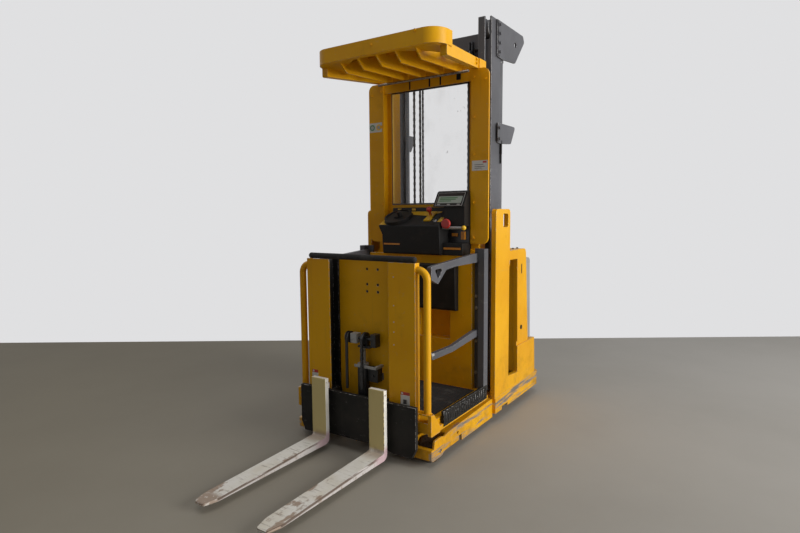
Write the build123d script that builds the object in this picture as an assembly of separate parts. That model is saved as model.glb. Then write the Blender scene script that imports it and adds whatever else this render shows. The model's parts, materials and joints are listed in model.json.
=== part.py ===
from build123d import *
import math
import os

# Order picker truck in millimetres. X runs across the truck, Z is up from the floor, and the forks point to -Y.
# Every Y value is counted from the front face of the cabin's front wall; save_nodes moves the finished
# pieces so that the middle of the truck's length lies at Y = 0.

# Chassis: straddle legs, skirt, side frames and hoods
skirt_half = 497
leg_half = skirt_half - 21
leg_width = 130
leg_sheet = 12
leg_tip_y = 3
leg_nose_depth = 28
leg_nose_top = 99
leg_clear = 34
leg_raised = 50
leg_fork_top = 142
leg_root_top = 162
base_front_y = 785
base_rear_y = 1597
base_bottom = 60
base_top = 163
base_sheet = 13
base_wall = 45
base_corner_r = 60
side_sheet = 30
cheek_front_y = 770
cheek_rear_y = 1000
cheek_top = 1378
cheek_corner_r = 28
small_slot_y = 1226
hood_top = 1104
hood_rear_top_y = 1312
hood_rear_low_y = 1372
hood_step_z = 434
hood_step = 8
hood_sheet = 10
low_box_rear_y = 1500
low_box_rear_top_y = 1482
recess_front_y = 992
recess_rear_y = 1132
recess_bottom = 262
recess_top = 1042
cover_rear_top_y = 1456
cover_rear_low_y = 1478
cover_top = hood_top - 74
grip_half = 70
battery_front_y = 1072
battery_depth = 190
battery_height = 690
deck_front_y = 1060
deck_rear_y = 1478
deck_sheet = 12
return_sheet = 12
return_inner = skirt_half - 97

# Wheels
load_wheel_r = 66
load_wheel_width = 84
load_wheel_y = 102
load_axle_r = 12
drive_wheel_r = 115
drive_wheel_width = 75
drive_wheel_y = 1350
drive_axle_r = 18
deck_top = 2 * drive_wheel_r + 40
yoke_gap = 6
yoke_sheet = 14
yoke_neck_r = 60
drive_motor_r = 80
drive_motor_top = 418

# Mast: outer rails on the chassis, inner rails inside them
outer_rail_face = skirt_half - 98
outer_rail_front_y = 899
outer_rail_depth = 149
outer_rail_flange = 43
outer_rail_sheet = 12
outer_rail_bead = 16
mast_top = 2590
roller_notch = 140
inner_rail_inner = outer_rail_face - 79
inner_rail_width = 46
inner_rail_front_y = 870
inner_rail_depth = 150
inner_rail_web = inner_rail_inner + 18
inner_rail_sheet = 12
inner_rail_bead = 14
inner_rail_bottom = 186
inner_rail_top = mast_top - 4
roller_width = 32
roller_slack = 0.5
roller_gap = 2
roller_pin_r = 15
barrel_r = 25
barrel_wall = 5
barrel_x = outer_rail_face - 30
barrel_top = mast_top - 220
battery_half = barrel_x - barrel_r - 9
deck_half = battery_half
rod_r = 16
rod_slack = 0.5
rod_top = inner_rail_top - 116
tie_sheet = 12
barrel_y = outer_rail_front_y + outer_rail_depth + tie_sheet + barrel_r + 3
mid_tie_low = hood_top + 76
tie_height = 80
clamp_height = 36
bracket_sheet = 12
bracket_hole_r = 18
bracket_hole_y = 1266
bracket_hole_below = 96
mast_chain_x = 213
mast_chain_width = 12
mast_chain_thickness = 8
mast_chain_gap = 10
mast_chain_low = 768
fixed_chain_x = 190
fixed_chain_width = 9
mast_pulley_r = 36
mast_pulley_z = mast_top - 206

# Cabin
floor_half = leg_half - 21
floor_front_y = 5
floor_rear_y = 715
floor_bottom = 184
floor_top = 243
cabin_sheet = 5
sill_half = leg_half
sill_bottom = 180
sill_top = 207
toe_box_front_y = 0
toe_box_rear_y = 98
toe_box_bottom = 172
toe_box_top = 291
toe_box_top_rear_y = 32
toe_box_inner = floor_half - 75
wall_half = floor_half - 76
wall_inner = 208
wall_flange = 46
wall_top = 1094
wall_back_y = 98
pad_r = 17
pad_y = 12
hand_tube_r = 20
hand_tube_x = floor_half - 17
hand_tube_y = 27
hand_tube_top = 1056
rear_wall_y = 650
rear_wall_half = floor_half - 63
rear_wall_top = 1088
pocket_left = 15
pocket_right = 237
pocket_bottom = 549
pocket_top = 732
pocket_depth = 80
store_left = 18
store_right = 298
store_bottom = 740
store_top = rear_wall_top - 55
store_depth = 55
post_inner = inner_rail_inner + 13
post_outer = floor_half - 1
post_y = 745
post_sheet = 12
post_bottom = 1158
post_top = 2238
post_corner_r = 42
channel_width = 52
channel_rear_y = 850
channel_sheet = 6
channel_top = 2300
window_half = post_inner - 35
window_bottom = 1415
window_top = 2180
window_rim = 30
window_frame_y = 796
window_frame_sheet = 10
jamb_rear_y = 900
gasket_width = 9
window_sheet = 6
header_bottom = 2171
header_sheet = 8
guard_half = floor_half - 15
guard_front_y = 156
guard_corner_r = 105
guard_tube = 40
guard_bottom = 2250
guard_top = 2333
guard_side_end_y = 300
guard_arm_rear_x = post_inner + 45
guard_arm_drop = 54
guard_bar_count = 5
guard_bar_pitch = 132
guard_bar_sheet = 9
guard_strip_y = 470
guard_strip_width = 70
guard_flange = 70
gate_post_inner = sill_half - 40
gate_post_outer = sill_half
gate_post_front_y = 645
gate_post_depth = 45
gate_post_top = 1134
gate_plate = 12
gate_pivot_y = 655
gate_rail_z = 1078
gate_bar_z = 611
gate_pin_r = 10
gate_sheet = 26
gate_inner = gate_post_inner - 32
kick_front_y = 180
kick_rear_y = 635
kick_top = 266
kick_x = sill_half - 18
kick_sheet = 4
kick_slot_count = 12
kick_slot_pitch = 26
kick_slot_width = 8
carriage_plate_x = inner_rail_inner - 32
carriage_plate_sheet = 12
carriage_bottom = 270
carriage_top = 840
cabin_roller_zs = [332, 778]
console_left = -280
console_foot_left = -256
console_split = 185
console_right = post_inner - 3
console_front_y = 600
console_front_z = 1278
console_slope_y = 770
console_slope_z = 1368
console_ledge_z = 1394
console_rear_y = 792
shelf_top = 1165
shelf_front_y = 640
display_left = 113
display_front_y = 665
display_bottom = 1270
steering_x = -170
steering_y = 681
steering_r = 95
stick_x = 68
stick_y = 692
stop_x = 219
stop_z = 1288
stop_r = 31
hand_bar_y = 649
hand_bar_z = 1262
hand_bar_r = 9
hand_knob_r = 15

# Fork mast in the front wall, fork carriage and forks
fork_rail_inner = wall_inner + 2
fork_rail_width = 53
fork_rail_front_y = cabin_sheet
fork_rail_bead = 12
fork_rail_bottom = 70
fork_rail_top = 1088
fork_roller_zs = [112, 296]
fork_barrel_x = -12
fork_barrel_y = 59
fork_barrel_r = 33
fork_barrel_bottom = 64
fork_barrel_top = 494
fork_rod_r = 15
fork_pulley_y = 52
fork_pulley_z = 640
fork_pulley_r = 32
fork_pulley_width = 18
chain_thickness = 7
chain_width = 16
chain_bottom = 350
fork_plate_y = -47
fork_plate_sheet = 25
fork_plate_half = floor_half - 47
fork_plate_bottom = 92
fork_plate_top = 334
fork_frame_x = wall_inner - 26
fork_frame_sheet = 16
fork_x = 204
fork_width = 100
fork_shank = 30
fork_front_y = -117
fork_length = 850
fork_shank_top = 420
fork_blade_top = 76
fork_heel = 40
fork_tip = 12
fork_tip_width = 62
hook_width = 34
hook_sheet = 8
hook_drop = 24
seat_gap = 0.3

fork_tip_y = fork_front_y + fork_shank - fork_length
middle_y = (fork_tip_y + base_rear_y) / 2


# Helpers for plain shapes

def block(x0, x1, y0, y1, z0, z1):
    return Pos((x0 + x1) / 2, (y0 + y1) / 2, (z0 + z1) / 2) * Box(x1 - x0, y1 - y0, z1 - z0)


def rod_along(axis, centre, radius, length):
    turn = {"X": Rot(0, 90, 0), "Y": Rot(90, 0, 0), "Z": Rot(0, 0, 0)}[axis]
    return Pos(*centre) * turn * Cylinder(radius, length)


def outline(points, place):
    """A face through the corners (u, v) or (u, v, radius); place turns (u, v) into a point in space."""
    corners = [Vector(p[0], p[1]) for p in points]
    radii = [p[2] if len(p) > 2 else 0 for p in points]
    stops = []
    for i, corner in enumerate(corners):
        if not radii[i]:
            stops.append((corner, None, corner))
            continue
        back = (corners[i - 1] - corner).normalized()
        ahead = (corners[(i + 1) % len(corners)] - corner).normalized()
        half = back.get_angle(ahead) / 2
        reach = radii[i] / math.tan(math.radians(half))
        centre = corner + (back + ahead).normalized() * (radii[i] / math.sin(math.radians(half)))
        middle = centre + (corner - centre).normalized() * radii[i]
        stops.append((corner + back * reach, middle, corner + ahead * reach))
    edges = []
    for i, (start, middle, end) in enumerate(stops):
        if middle is not None:
            edges.append(ThreePointArc(place(start.X, start.Y), place(middle.X, middle.Y), place(end.X, end.Y)))
        after = stops[(i + 1) % len(stops)][0]
        if (after - end).length > 1e-6:
            edges.append(Line(place(end.X, end.Y), place(after.X, after.Y)))
    return make_face(edges)


def along_x(points, x0, x1):
    return extrude(outline(points, lambda y, z: (x0, y, z)), amount=x1 - x0, dir=(1, 0, 0))


def along_y(points, y0, y1):
    return extrude(outline(points, lambda x, z: (x, y0, z)), amount=y1 - y0, dir=(0, 1, 0))


def along_z(points, z0, z1):
    return extrude(outline(points, lambda x, y: (x, y, z0)), amount=z1 - z0, dir=(0, 0, 1))


def left_of(shape):
    return mirror(shape, about=Plane.YZ)


# Chassis

def leg_right():
    tip = leg_tip_y
    nose_rear = tip + leg_nose_depth
    side = along_x([
        (tip, leg_clear + 8, 8), (tip + 12, leg_clear), (115, leg_clear, 20), (150, leg_raised, 20),
        (318, leg_raised), (318, leg_raised + 26), (352, leg_raised + 26), (352, leg_clear + 3),
        (base_front_y, leg_clear + 3), (base_front_y, leg_root_top),
        (190, leg_fork_top), (145, leg_fork_top - 10, 14), (110, leg_fork_top, 14),
        (nose_rear + 8, leg_fork_top, 14), (nose_rear, leg_nose_top), (tip, leg_nose_top, 6),
    ], leg_half - leg_width, leg_half)
    inner, outer = leg_half - leg_width + leg_sheet, leg_half - leg_sheet
    pocket_rear = load_wheel_y + load_wheel_r + 8
    side -= block(inner, outer, nose_rear, pocket_rear, 0, leg_fork_top + 10)
    side -= along_x([
        (pocket_rear + leg_sheet, 0), (base_front_y + 1, 0), (base_front_y + 1, leg_root_top - leg_sheet),
        (pocket_rear + leg_sheet, leg_fork_top - leg_sheet - 2),
    ], inner, outer)
    side -= rod_along("X", (leg_half - leg_width / 2, load_wheel_y, load_wheel_r),
                      load_axle_r + seat_gap, leg_width + 2)
    side -= rod_along("X", (leg_half, 303, 100), 9, 2 * leg_sheet + 2)
    return side


def load_axles():
    pins = Part()
    for side in (-1, 1):
        pins += rod_along("X", (side * (leg_half - leg_width / 2), load_wheel_y, load_wheel_r),
                          load_axle_r, leg_width - 6)
    return pins


def load_wheel(side):
    x = side * (leg_half - leg_width / 2)
    wheel = rod_along("X", (x, load_wheel_y, load_wheel_r), load_wheel_r, load_wheel_width)
    wheel = fillet(wheel.edges().filter_by(GeomType.CIRCLE), 6)
    for face in (-1, 1):
        wheel -= rod_along("X", (x + face * load_wheel_width / 2, load_wheel_y, load_wheel_r), 30, 16)
    return wheel - rod_along("X", (x, load_wheel_y, load_wheel_r), load_axle_r + seat_gap, load_wheel_width + 2)


def chassis_base():
    rim = along_z([
        (-skirt_half, base_front_y), (skirt_half, base_front_y), (skirt_half, base_rear_y, base_corner_r),
        (-skirt_half, base_rear_y, base_corner_r),
    ], base_bottom, base_top)
    rim -= block(-skirt_half + base_wall, skirt_half - base_wall, base_front_y + base_sheet,
                 base_rear_y - base_wall, 0, base_top - base_sheet)
    for side in (-1, 1):
        rim -= block(side * skirt_half - base_wall, side * skirt_half + base_wall, 890, 985, 0, base_bottom + 20)
    wheel_hole = drive_wheel_r + 12
    rim -= rod_along("Z", (0, drive_wheel_y, base_top), wheel_hole, 4 * base_sheet)
    deck = block(-deck_half, deck_half, deck_front_y, deck_rear_y, base_top, deck_top)
    deck -= block(-deck_half + deck_sheet, deck_half - deck_sheet, deck_front_y + deck_sheet,
                  deck_rear_y - deck_sheet, base_top - 1, deck_top - deck_sheet)
    deck -= rod_along("Z", (0, drive_wheel_y, deck_top), yoke_neck_r + 1, 4 * deck_sheet)
    return rim + deck


def side_frame_right():
    plate = along_x([
        (cheek_front_y, base_top), (low_box_rear_y, base_top), (low_box_rear_top_y, hood_step_z),
        (hood_rear_low_y, hood_step_z), (hood_rear_top_y, hood_top, 40), (cheek_rear_y, hood_top),
        (cheek_rear_y, cheek_top, cheek_corner_r), (cheek_front_y, cheek_top, cheek_corner_r),
    ], skirt_half - side_sheet, skirt_half)
    plate -= along_x([
        (recess_front_y, recess_bottom, 6), (recess_rear_y + 22, recess_bottom - 14, 6),
        (recess_rear_y, recess_top, 6), (recess_front_y, recess_top, 6),
    ], skirt_half - side_sheet - 1, skirt_half + 1)
    plate -= block(skirt_half - hood_step, skirt_half + 1, recess_rear_y + 16, low_box_rear_y,
                   hood_step_z, hood_top + 1)
    plate -= along_x([
        (884, 1262, 14), (964, 1262, 14), (964, 1348, 14), (884, 1348, 14),
    ], skirt_half - side_sheet - 1, skirt_half + 1)
    plate -= block(skirt_half - side_sheet - 1, skirt_half + 1, small_slot_y, small_slot_y + 14, 932, 998)
    plate -= rod_along("X", (skirt_half, small_slot_y + 8, 552), 16, 3 * side_sheet)
    low, high = recess_bottom - 14, hood_top - 20
    plate += along_x([
        (recess_rear_y + 22, low), (recess_rear_y + 22 + return_sheet, low),
        (recess_rear_y + return_sheet, high), (recess_rear_y, high),
    ], return_inner, skirt_half - side_sheet + 1)
    return plate


def hood_lid():
    inner = skirt_half - side_sheet - seat_gap
    lid = block(-inner, inner, deck_front_y + 10, hood_rear_top_y - 26, hood_top - 16, hood_top - 1)
    front = block(-inner, inner, deck_front_y + 10, deck_front_y + 18, hood_top - 110, hood_top - 16)
    lid += front
    notch = barrel_r + 8
    for side in (-1, 1):
        x = side * barrel_x
        lid -= block(x - notch, x + notch, deck_front_y, barrel_y + notch, hood_top - 111, hood_top)
    return lid


def lower_hood():
    inner = skirt_half - side_sheet - seat_gap
    back = along_x([
        (low_box_rear_y - hood_sheet, base_top), (low_box_rear_y, base_top), (low_box_rear_top_y, hood_step_z, 10),
        (hood_rear_low_y - 80, hood_step_z), (hood_rear_low_y - 80, hood_step_z - hood_sheet),
        (low_box_rear_top_y - hood_sheet, hood_step_z - hood_sheet),
    ], -inner, inner)
    return back


def rear_cover():
    inner = skirt_half - side_sheet - 1
    front = hood_rear_top_y - 20
    shell = along_x([
        (front, hood_step_z + seat_gap), (cover_rear_low_y, hood_step_z + seat_gap),
        (cover_rear_top_y, cover_top, 30), (front, cover_top),
    ], -inner, inner)
    hollow = along_x([
        (front - 1, hood_step_z), (cover_rear_low_y - hood_sheet, hood_step_z),
        (cover_rear_top_y - hood_sheet, cover_top - hood_sheet, 20), (front - 1, cover_top - hood_sheet),
    ], -inner + hood_sheet, inner - hood_sheet)
    grip_z = cover_top - 90
    grip = block(-grip_half, grip_half, front, cover_rear_low_y, grip_z, grip_z + 42)
    grip_floor = block(-grip_half - 8, grip_half + 8, cover_rear_top_y - 44, cover_rear_top_y - 4, grip_z - 8, grip_z + 50)
    grip_floor -= block(-grip_half, grip_half, cover_rear_top_y - 36, cover_rear_low_y, grip_z, grip_z + 42)
    return shell - hollow - grip + grip_floor


def battery():
    return block(-battery_half, battery_half, battery_front_y, battery_front_y + battery_depth,
                 deck_top, deck_top + battery_height)


# Drive unit

def drive_yoke():
    top = drive_wheel_r * 2 + 8
    inner = drive_wheel_width / 2 + yoke_gap
    outer = inner + yoke_sheet
    crown = rod_along("Z", (0, drive_wheel_y, top + yoke_sheet / 2), 92, yoke_sheet)
    yoke = crown
    for side in (-1, 1):
        arm = along_x([
            (drive_wheel_y - 34, drive_wheel_r - 34, 30), (drive_wheel_y + 34, drive_wheel_r - 34, 30),
            (drive_wheel_y + 48, top + 1), (drive_wheel_y - 48, top + 1),
        ], min(side * inner, side * outer), max(side * inner, side * outer))
        yoke += arm
    yoke += rod_along("X", (0, drive_wheel_y, drive_wheel_r), drive_axle_r, 2 * outer + 8)
    neck_low = top + yoke_sheet
    yoke += rod_along("Z", (0, drive_wheel_y, (neck_low + deck_top) / 2 + 1), yoke_neck_r, deck_top - neck_low + 4)
    flange_z = deck_top + seat_gap
    yoke += rod_along("Z", (0, drive_wheel_y, flange_z + 6), yoke_neck_r + 22, 12)
    return yoke


def drive_motor():
    low = deck_top + seat_gap + 12
    return rod_along("Z", (0, drive_wheel_y, (low + drive_motor_top) / 2), drive_motor_r, drive_motor_top - low)


def drive_wheel():
    centre = (0, drive_wheel_y, drive_wheel_r)
    wheel = rod_along("X", centre, drive_wheel_r, drive_wheel_width)
    wheel = fillet(wheel.edges().filter_by(GeomType.CIRCLE), 8)
    for face in (-1, 1):
        wheel -= rod_along("X", (face * drive_wheel_width / 2, drive_wheel_y, drive_wheel_r), 70, 20)
    return wheel - rod_along("X", centre, drive_axle_r + seat_gap, drive_wheel_width + 2)


# Mast

def outer_rail_right():
    x1 = outer_rail_face
    x0 = x1 - outer_rail_flange
    y0, y1 = outer_rail_front_y, outer_rail_front_y + outer_rail_depth
    rail = block(x0, x1, y0, y1, base_top, mast_top)
    rail -= block(x0 - 1, x1 - outer_rail_sheet, y0 + outer_rail_bead, y1 - outer_rail_bead,
                  base_top - 1, mast_top + 1)
    rail -= block(x0 - 1, x1 - outer_rail_sheet, y0 - 1, y0 + outer_rail_bead + 1,
                  mast_top - roller_notch, mast_top + 1)
    front = inner_rail_front_y + inner_rail_bead
    rear = inner_rail_front_y + inner_rail_depth - inner_rail_bead
    wheel_x = inner_rail_web + inner_rail_sheet + roller_gap + roller_width / 2
    wheel_z = mast_top - roller_notch / 2
    rail += rod_along("X", (wheel_x, (front + rear) / 2, wheel_z), (rear - front) / 2 - roller_slack, roller_width)
    rail += rod_along("X", ((wheel_x + x1) / 2, (front + rear) / 2, wheel_z), roller_pin_r, x1 - wheel_x)
    return rail


def inner_rail_right():
    x0, x1 = inner_rail_inner, inner_rail_inner + inner_rail_width
    y0, y1 = inner_rail_front_y, inner_rail_front_y + inner_rail_depth
    web0, web1 = inner_rail_web, inner_rail_web + inner_rail_sheet
    rail = block(x0, x1, y0, y1, inner_rail_bottom, inner_rail_top)
    for low, high in ((x0 - 1, web0), (web1, x1 + 1)):
        rail -= block(low, high, y0 + inner_rail_bead, y1 - inner_rail_bead, inner_rail_bottom - 1, inner_rail_top + 1)
    rail -= block(web1, x1 + 1, y1 - inner_rail_bead - 1, y1 + 1, inner_rail_bottom - 1, inner_rail_bottom + roller_notch)
    front = outer_rail_front_y + outer_rail_bead
    rear = outer_rail_front_y + outer_rail_depth - outer_rail_bead
    wheel_z = inner_rail_bottom + roller_notch / 2
    wheel_x = web1 + roller_gap + roller_width / 2
    rail += rod_along("X", (wheel_x, (front + rear) / 2, wheel_z), (rear - front) / 2 - roller_slack, roller_width)
    rail += rod_along("X", ((web0 + wheel_x) / 2 + 3, (front + rear) / 2, wheel_z), roller_pin_r, wheel_x - web0 - 6)
    return rail


def outer_ties():
    y0 = outer_rail_front_y + outer_rail_depth
    y1 = y0 + tie_sheet
    ties = Part()
    for low in (base_top + 6, mid_tie_low, mast_top - 214):
        ties += block(-outer_rail_face, outer_rail_face, y0, y1, low, low + tie_height)
    clamp_low = mid_tie_low + (tie_height - clamp_height) / 2
    for side in (-1, 1):
        x = side * barrel_x
        clamp = block(x - barrel_r - 3, x + barrel_r + 3, y1, barrel_y + barrel_r + 8, clamp_low,
                      clamp_low + clamp_height)
        ties += clamp - rod_along("Z", (x, barrel_y, clamp_low), barrel_r + seat_gap, 4 * clamp_height)
    return ties


def inner_ties():
    y1 = inner_rail_front_y + inner_rail_depth
    y0 = y1 - inner_rail_bead
    half = inner_rail_inner
    top = inner_rail_top - 56
    ties = block(-half, half, y0, y1, top - 96, top)
    ties += block(-half, half, y0, y1, inner_rail_bottom + 10, inner_rail_bottom + 90)
    head_front_y = outer_rail_front_y + outer_rail_depth + 6
    rear_y = barrel_y + barrel_r
    high = rod_top + 24
    arm = block(half - 20, half, y0, rear_y, rod_top, high)
    arm += block(half - 1, outer_rail_face - outer_rail_flange - 6, y1 + seat_gap, rear_y, rod_top, high)
    arm += block(half, barrel_x + barrel_r - 2, head_front_y, rear_y, rod_top, high)
    return ties + arm + left_of(arm)


def lift_barrels():
    barrels = Part()
    for side in (-1, 1):
        x = side * barrel_x
        tube = rod_along("Z", (x, barrel_y, (base_top + barrel_top) / 2), barrel_r, barrel_top - base_top)
        tube += rod_along("Z", (x, barrel_y, barrel_top - 14), barrel_r + 4, 28)
        bore_low = base_top + 20
        tube -= rod_along("Z", (x, barrel_y, (bore_low + barrel_top) / 2 - 15),
                          barrel_r - barrel_wall, barrel_top - bore_low - 30)
        tube -= rod_along("Z", (x, barrel_y, barrel_top), rod_r + rod_slack, 90)
        barrels += tube
    return barrels


def lift_rods():
    low = base_top + 32
    rods = Part()
    for side in (-1, 1):
        rods += rod_along("Z", (side * barrel_x, barrel_y, (rod_top + low) / 2), rod_r, rod_top - low)
    return rods


def mast_chain_right():
    half = mast_chain_width / 2
    x, z = mast_chain_x, mast_pulley_z
    reach = mast_pulley_r + mast_chain_thickness
    rear = inner_rail_front_y + inner_rail_depth + mast_chain_gap + mast_chain_thickness
    y = rear - reach
    wrap = rod_along("X", (x, y, z), reach, mast_chain_width)
    wrap -= block(x - half - 1, x + half + 1, y - reach - 1, y + reach + 1, z - reach - 1, z)
    chain = wrap + rod_along("X", (x, y, z), mast_pulley_r + 0.5, mast_chain_width + 4)
    for low_y in (y - reach, rear - mast_chain_thickness):
        chain += block(x - half, x + half, low_y, low_y + mast_chain_thickness, mast_chain_low, z)
    chain += rod_along("X", (x, y, z), 10, mast_chain_width + 12)
    tie_front = inner_rail_front_y + inner_rail_depth - inner_rail_bead
    for side in (-1, 1):
        inner = x + side * (half + 2.5)
        outer = inner + side * 4
        chain += block(min(inner, outer), max(inner, outer), y - 16, tie_front, z - 16, z + 96)
    return chain


def lift_chains():
    chain = mast_chain_right()
    return Part() + chain + left_of(chain)


def anchor_chains():
    rear = inner_rail_front_y + inner_rail_depth + mast_chain_gap + mast_chain_thickness
    tie_front = outer_rail_front_y + outer_rail_depth
    chains = Part()
    for side in (-1, 1):
        x = side * fixed_chain_x
        half = fixed_chain_width / 2
        chain = block(x - half, x + half, rear - mast_chain_thickness, rear, mid_tie_low + 10, mast_pulley_z)
        chain += block(x - half - 3, x + half + 3, rear - mast_chain_thickness - 1, tie_front, mid_tie_low + 10,
                       mid_tie_low + 60)
        chains += chain
    return chains


def mast_brackets():
    brackets = Part()
    x0, x1 = outer_rail_face, outer_rail_face + bracket_sheet
    top = mast_top
    upper = along_x([
        (965, top - 234), (1052, top - 238), (bracket_hole_y, top - 218, 30), (1432, top - 40, 20),
        (1404, top - 1, 12), (965, top - 5),
    ], x0, x1)
    upper -= rod_along("X", (x0, bracket_hole_y, top - bracket_hole_below), bracket_hole_r, 4 * bracket_sheet)
    lower = along_x([
        (985, top - 778), (1040, top - 782), (1205, top - 768, 18), (1282, top - 646, 14), (985, top - 650),
    ], x0, x1)
    for plate in (upper, lower):
        brackets += plate
        brackets += left_of(plate)
    return brackets


# Cabin platform and walls

def cabin_floor():
    pan = block(-floor_half, floor_half, floor_front_y, floor_rear_y, floor_bottom, floor_top)
    notch = fork_rail_inner + fork_rail_width + 2
    pan -= block(-notch, notch, floor_front_y - 1, wall_back_y + 2, floor_bottom - 1, floor_top + 1)
    rim = 30
    top_sheet = 8
    pan -= block(-floor_half + rim, floor_half - rim, wall_back_y + 2 + rim, floor_rear_y - rim,
                 floor_bottom - 1, floor_top - top_sheet)
    for y in (280, 440, 580):
        pan += block(-floor_half + rim - 1, floor_half - rim + 1, y, y + 12, floor_bottom, floor_top - top_sheet + 1)
    return pan


def toe_box_right():
    shape = along_x([
        (toe_box_front_y, toe_box_bottom, 8), (toe_box_rear_y, toe_box_bottom),
        (toe_box_rear_y, sill_bottom), (floor_rear_y - 7, sill_bottom), (floor_rear_y - 7, sill_top),
        (toe_box_rear_y, sill_top), (toe_box_top_rear_y, toe_box_top), (toe_box_front_y, toe_box_top),
    ], floor_half, sill_half)
    corner = along_x([
        (toe_box_front_y, toe_box_bottom, 8), (toe_box_front_y + cabin_sheet, toe_box_bottom),
        (toe_box_front_y + cabin_sheet, toe_box_top), (toe_box_front_y, toe_box_top),
    ], toe_box_inner, floor_half)
    cap = block(toe_box_inner, floor_half, toe_box_front_y, toe_box_top_rear_y + 18, toe_box_top - 6, toe_box_top)
    return shape + corner + cap


def front_panel_right():
    panel = block(wall_inner, wall_half, 0, cabin_sheet, floor_top, wall_top)
    panel += block(wall_half - cabin_sheet, wall_half, 0, wall_flange, floor_top, wall_top)
    return panel


def front_back_plate():
    plate = block(-wall_inner - 80, wall_inner + 80, wall_back_y, wall_back_y + cabin_sheet, floor_top, wall_top)
    for x in (-6, 70):
        for z in (1038, 950, 908):
            plate -= rod_along("Y", (x, wall_back_y, z), 8, 40)
    plate -= block(34, 104, wall_back_y - 1, wall_back_y + cabin_sheet + 1, 400, 476)
    return plate


def front_pad():
    bar = rod_along("X", (8, pad_y, wall_top + pad_r), pad_r, 2 * wall_half - 10)
    return fillet(bar.edges().filter_by(GeomType.CIRCLE), pad_r - 2)


def hand_tubes():
    corner_z = hand_tube_top
    path = FilletPolyline(
        (wall_half, hand_tube_y, corner_z), (hand_tube_x, hand_tube_y, corner_z),
        (hand_tube_x, hand_tube_y, toe_box_top), radius=hand_tube_x - wall_half - 6)
    section = Plane(origin=(wall_half, hand_tube_y, corner_z), z_dir=(1, 0, 0)) * Circle(hand_tube_r)
    tube = sweep(section, path=path)
    return Part() + tube + left_of(tube)


def rear_wall():
    y0, y1 = rear_wall_y, post_y + post_sheet
    wall = block(-rear_wall_half, rear_wall_half, y0, y0 + cabin_sheet, floor_top, rear_wall_top)
    for side in (-1, 1):
        edge = side * rear_wall_half
        wall += block(min(edge, edge - side * cabin_sheet), max(edge, edge - side * cabin_sheet),
                      y0, y1 - post_sheet - 1, floor_top, rear_wall_top)
    wall += block(-rear_wall_half, rear_wall_half, y0, y1 - post_sheet - 1, rear_wall_top - cabin_sheet, rear_wall_top)
    wall += block(pocket_left - cabin_sheet, pocket_right + cabin_sheet, y0, y0 + pocket_depth,
                  pocket_bottom - cabin_sheet, pocket_top + cabin_sheet)
    wall -= block(pocket_left, pocket_right, y0 - 1, y0 + pocket_depth - cabin_sheet, pocket_bottom, pocket_top)
    return wall


def storage_box():
    box = along_x([
        (rear_wall_y, store_bottom), (rear_wall_y, store_top),
        (rear_wall_y - store_depth, store_top, 10), (rear_wall_y - store_depth + 12, store_bottom, 16),
    ], store_left, store_right)
    return box


def rear_post_right():
    plate = along_y([
        (post_inner, post_bottom, 6), (post_outer, post_bottom, post_corner_r),
        (post_outer, post_top, post_corner_r), (post_inner, post_top, 18),
    ], post_y, post_y + post_sheet)
    y0 = post_y + post_sheet
    outer = post_inner + channel_width
    tube = block(post_inner, outer, y0, channel_rear_y, floor_bottom, channel_top)
    tube -= block(post_inner + channel_sheet, outer - channel_sheet, y0 + channel_sheet,
                  channel_rear_y - channel_sheet, floor_bottom - 1, channel_top - channel_sheet)
    foot = block(post_inner, outer, floor_rear_y, y0, floor_bottom, floor_top)
    gusset = along_y([
        (post_inner, post_bottom - 98), (post_inner + 62, post_bottom - 98), (post_inner + 62, post_bottom - 62, 8),
        (post_inner, post_bottom - 34),
    ], post_y, post_y + post_sheet)
    return plate + tube + foot + gusset


def window_frame():
    y0, y1 = window_frame_y, window_frame_y + window_frame_sheet
    high = window_top + window_rim
    frame = block(-post_inner, post_inner, y0, y1, rear_wall_top, high)
    frame -= block(-window_half, window_half, y0 - 1, y1 + 1, window_bottom, window_top)
    for side in (-1, 1):
        inner, outer = side * window_half, side * (window_half + window_frame_sheet)
        frame += block(min(inner, outer), max(inner, outer), y1 - 1, jamb_rear_y, window_bottom - window_rim, high)
    header_y = post_y + post_sheet
    frame += block(-post_inner, post_inner, header_y, header_y + header_sheet, header_bottom, channel_top)
    frame += block(-post_inner, post_inner, header_y, y0 + 1, window_top, window_top + 6)
    return frame


def window_gasket():
    y0, y1 = window_frame_y - 4, window_frame_y + window_frame_sheet + 4
    out = seat_gap
    ring = block(-window_half + out, window_half - out, y0, y1, window_bottom + out, window_top - out)
    inner = gasket_width
    return ring - block(-window_half + inner, window_half - inner, y0 - 1, y1 + 1, window_bottom + inner,
                        window_top - inner)


def window_pane():
    y = window_frame_y + window_frame_sheet / 2
    inset = gasket_width + seat_gap
    return block(-window_half + inset, window_half - inset, y - window_sheet / 2, y + window_sheet / 2,
                 window_bottom + inset, window_top - inset)


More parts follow.
